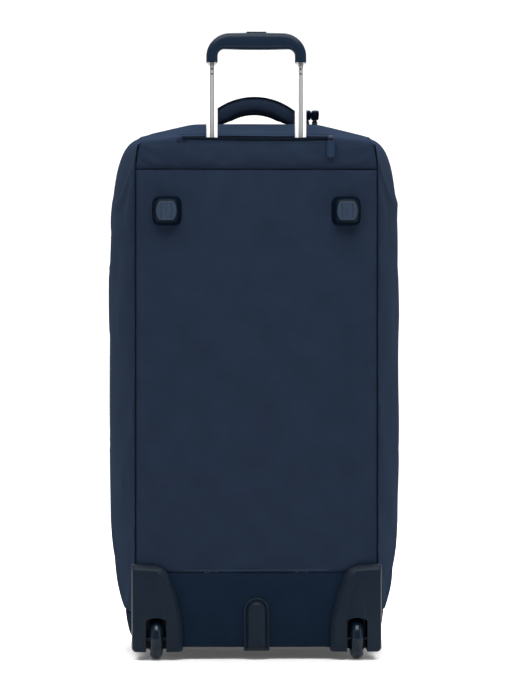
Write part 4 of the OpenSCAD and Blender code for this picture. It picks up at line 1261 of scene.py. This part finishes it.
def build_grip():
    """Rings of a rounded section between the grip's outer and inner arches."""
    outer = arch_path(TUBE_X + LEG_W / 2, BAR_HIGH - 0.2, 33, 1.6)
    inner = arch_path(TUBE_X - LEG_W / 2, BAR_LOW + 0.6, 10, -1.2)
    count = 140

    def even(path):
        flat = resample(np.stack([path[:, 0], np.zeros(len(path)), path[:, 1]], 1), 0.25)
        return flat[np.linspace(0, len(flat) - 1, count).round().astype(int)]

    out, within = even(outer), even(inner)
    section = rounded_section(1, 1, 3.2, 36)
    rings = []
    for o, i in zip(out, within):
        centre, half = (o + i) / 2 + np.array([0, TUBE_Y, 0]), (o - i)
        rings.append(centre + section[:, :1] * half + section[:, 1:] * np.array([0, 23.8, 0]))
    rings = np.array(rings)
    made = Builder()
    made.grid(rings, wrap=True)
    for ring in (rings[0], rings[-1]):
        middle = ring.mean(0)
        made.grid(np.array([ring, middle + (ring - middle) * 0.9, middle + (ring - middle) * 0.05]), wrap=True)
    return made.make("grip_shell", "inner_stage", "navy_plastic", ("grip",), ["grip_body"], sharp=50)


build_grip()


# ---------------------------------------------------------------- carried-over CAD nodes
def dress(material, *names, bevel=0.0):
    """Gives CAD nodes a material and, if asked for, rounded edges of so many millimetres."""
    for name in names:
        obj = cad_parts[name]
        obj.data.materials.clear()
        obj.data.materials.append(MAT[material])
        if bevel:
            rounded = obj.modifiers.new("Bevel", "BEVEL")
            rounded.width = bevel * MM
            rounded.segments = 2
            rounded.limit_method = "ANGLE"
            rounded.angle_limit = math.radians(40)
            rounded.harden_normals = False


dress("tyre", "tyre_left", "tyre_right")
dress("hub", "wheel_hub_left", "wheel_hub_right", bevel=0.4)
dress("steel", "wheel_bearings_left", "wheel_bearings_right", "frame_screws", "lock_pins", "button_spring")
dress("black_steel", "wheel_axles", "grip_pins")
dress("tube", "inner_tube_left", "inner_tube_right", "middle_tube_left", "middle_tube_right", "outer_tube_left",
      "outer_tube_right", "push_rods")
dress("housing", "handle_bezel", "tube_foot_bracket", "lock_plugs", bevel=0.6)
dress("foot", "front_feet", bevel=1.5)
dress("grip", "release_button", bevel=1.6)
dress("board", "back_board", "bottom_board", bevel=0.5)
dress("lining", "lining_board", bevel=0.6)
dress("webbing", "packing_straps", bevel=0.5)


# ---------------------------------------------------------------- studio
ROOM_LIGHT = 0.40


def studio_world():
    """Grey all round, white behind the bag."""
    world = bpy.data.worlds.new("studio")
    bpy.context.scene.world = world
    world.use_nodes = True
    tree = world.node_tree
    where = node(tree, "ShaderNodeTexCoord")
    axes = node(tree, "ShaderNodeSeparateXYZ")
    tree.links.new(where.outputs["Generated"], axes.inputs[0])
    ahead = node(tree, "ShaderNodeMapRange", interpolation_type="SMOOTHSTEP")
    for key, value in (("From Min", 0.45), ("From Max", 0.97), ("To Min", ROOM_LIGHT), ("To Max", 1.25)):
        ahead.inputs[key].default_value = value
    tree.links.new(axes.outputs["Y"], ahead.inputs["Value"])
    tree.links.new(ahead.outputs["Result"], tree.nodes["Background"].inputs["Strength"])
    tree.nodes["Background"].inputs["Color"].default_value = (1, 1, 1, 1)


def floor():
    """A large floor that runs back under the white."""
    mesh = bpy.data.meshes.new("studio_floor")
    reach, behind = 7, 3.2
    mesh.from_pydata([(-reach, -reach, 0), (reach, -reach, 0), (reach, behind, 0), (-reach, behind, 0)], [],
                     [(0, 1, 2, 3)])
    obj = bpy.data.objects.new("studio_floor", mesh)
    bpy.context.scene.collection.objects.link(obj)
    material, tree, shader = new_material("floor paint", (0.9, 0.9, 0.9), 0.9)
    # Painted pool of light: white round the bag and behind it, falling off to pale grey in front and at the
    # sides.
    axes = node(tree, "ShaderNodeSeparateXYZ")
    tree.links.new(place(tree), axes.inputs[0])
    across = math_of(tree, "POWER", math_of(tree, "ABSOLUTE", axes.outputs["X"], 0), 2)
    before = math_of(tree, "POWER", math_of(tree, "MINIMUM", axes.outputs["Y"], 0), 2)
    away = math_of(tree, "SQRT", math_of(tree, "ADD", across, before), 0)
    painted_light_pool = node(tree, "ShaderNodeMapRange", interpolation_type="SMOOTHSTEP")
    for key, value in (("From Min", 0.75), ("From Max", 2.2), ("To Min", 0.92), ("To Max", 0.5)):
        painted_light_pool.inputs[key].default_value = value
    tree.links.new(away, painted_light_pool.inputs["Value"])
    paint = node(tree, "ShaderNodeCombineXYZ")
    for socket in paint.inputs:
        tree.links.new(painted_light_pool.outputs["Result"], socket)
    tree.links.new(paint.outputs["Vector"], shader.inputs["Base Color"])
    # A faint painted glow on the whole floor lightens the shadow under the bag.
    shader.inputs["Emission Color"].default_value = (1, 1, 1, 1)
    shader.inputs["Emission Strength"].default_value = 0.07
    mesh.materials.append(material)


def softbox(name, place_at, aim, size, watts):
    light = bpy.data.lights.new(name, "AREA")
    light.shape = "RECTANGLE"
    light.size, light.size_y = size
    light.energy = watts
    obj = bpy.data.objects.new(name, light)
    obj.location = place_at
    obj.rotation_euler = (Vector(aim) - Vector(place_at)).to_track_quat("-Z", "Y").to_euler()
    obj.visible_camera = False
    bpy.context.scene.collection.objects.link(obj)


studio_world()
floor()
softbox("overhead", (0, -1.05, 1.95), (0, -0.1, 0.55), (1.7, 0.9), 40)
softbox("above", (0, 0.5, 2.2), (0, 0.2, 0), (1.6, 1.4), 22)
softbox("left_strip", (-1.5, -0.9, 0.8), (0, 0, 0.5), (0.3, 1.4), 2)
softbox("right_strip", (1.5, -0.9, 0.8), (0, 0, 0.5), (0.3, 1.4), 4)
softbox("behind", (0, 2.3, 3.0), (0, 1.9, 0), (5, 2.6), 260)

# The camera, level, 4.5 m behind the back plane; metres and radians.
CAMERA_BACK = 4.5
CAMERA_SIDE = -0.10
CAMERA_HEIGHT = 0.457
CAMERA_TRIM = 0.0005
camera_data = bpy.data.cameras.new("camera")
camera_data.sensor_fit = "AUTO"
camera_data.sensor_width = 36
camera_data.lens = 166.6
camera = bpy.data.objects.new("camera", camera_data)
camera.location = (CAMERA_SIDE, BACK_PLANE - CAMERA_BACK, CAMERA_HEIGHT)
camera.rotation_euler = (math.radians(90), 0, math.atan2(CAMERA_SIDE, CAMERA_BACK) + CAMERA_TRIM)
bpy.context.scene.collection.objects.link(camera)
bpy.context.scene.camera = camera
bpy.context.scene.view_settings.view_transform = "Standard"
bpy.context.scene.view_settings.look = "None"
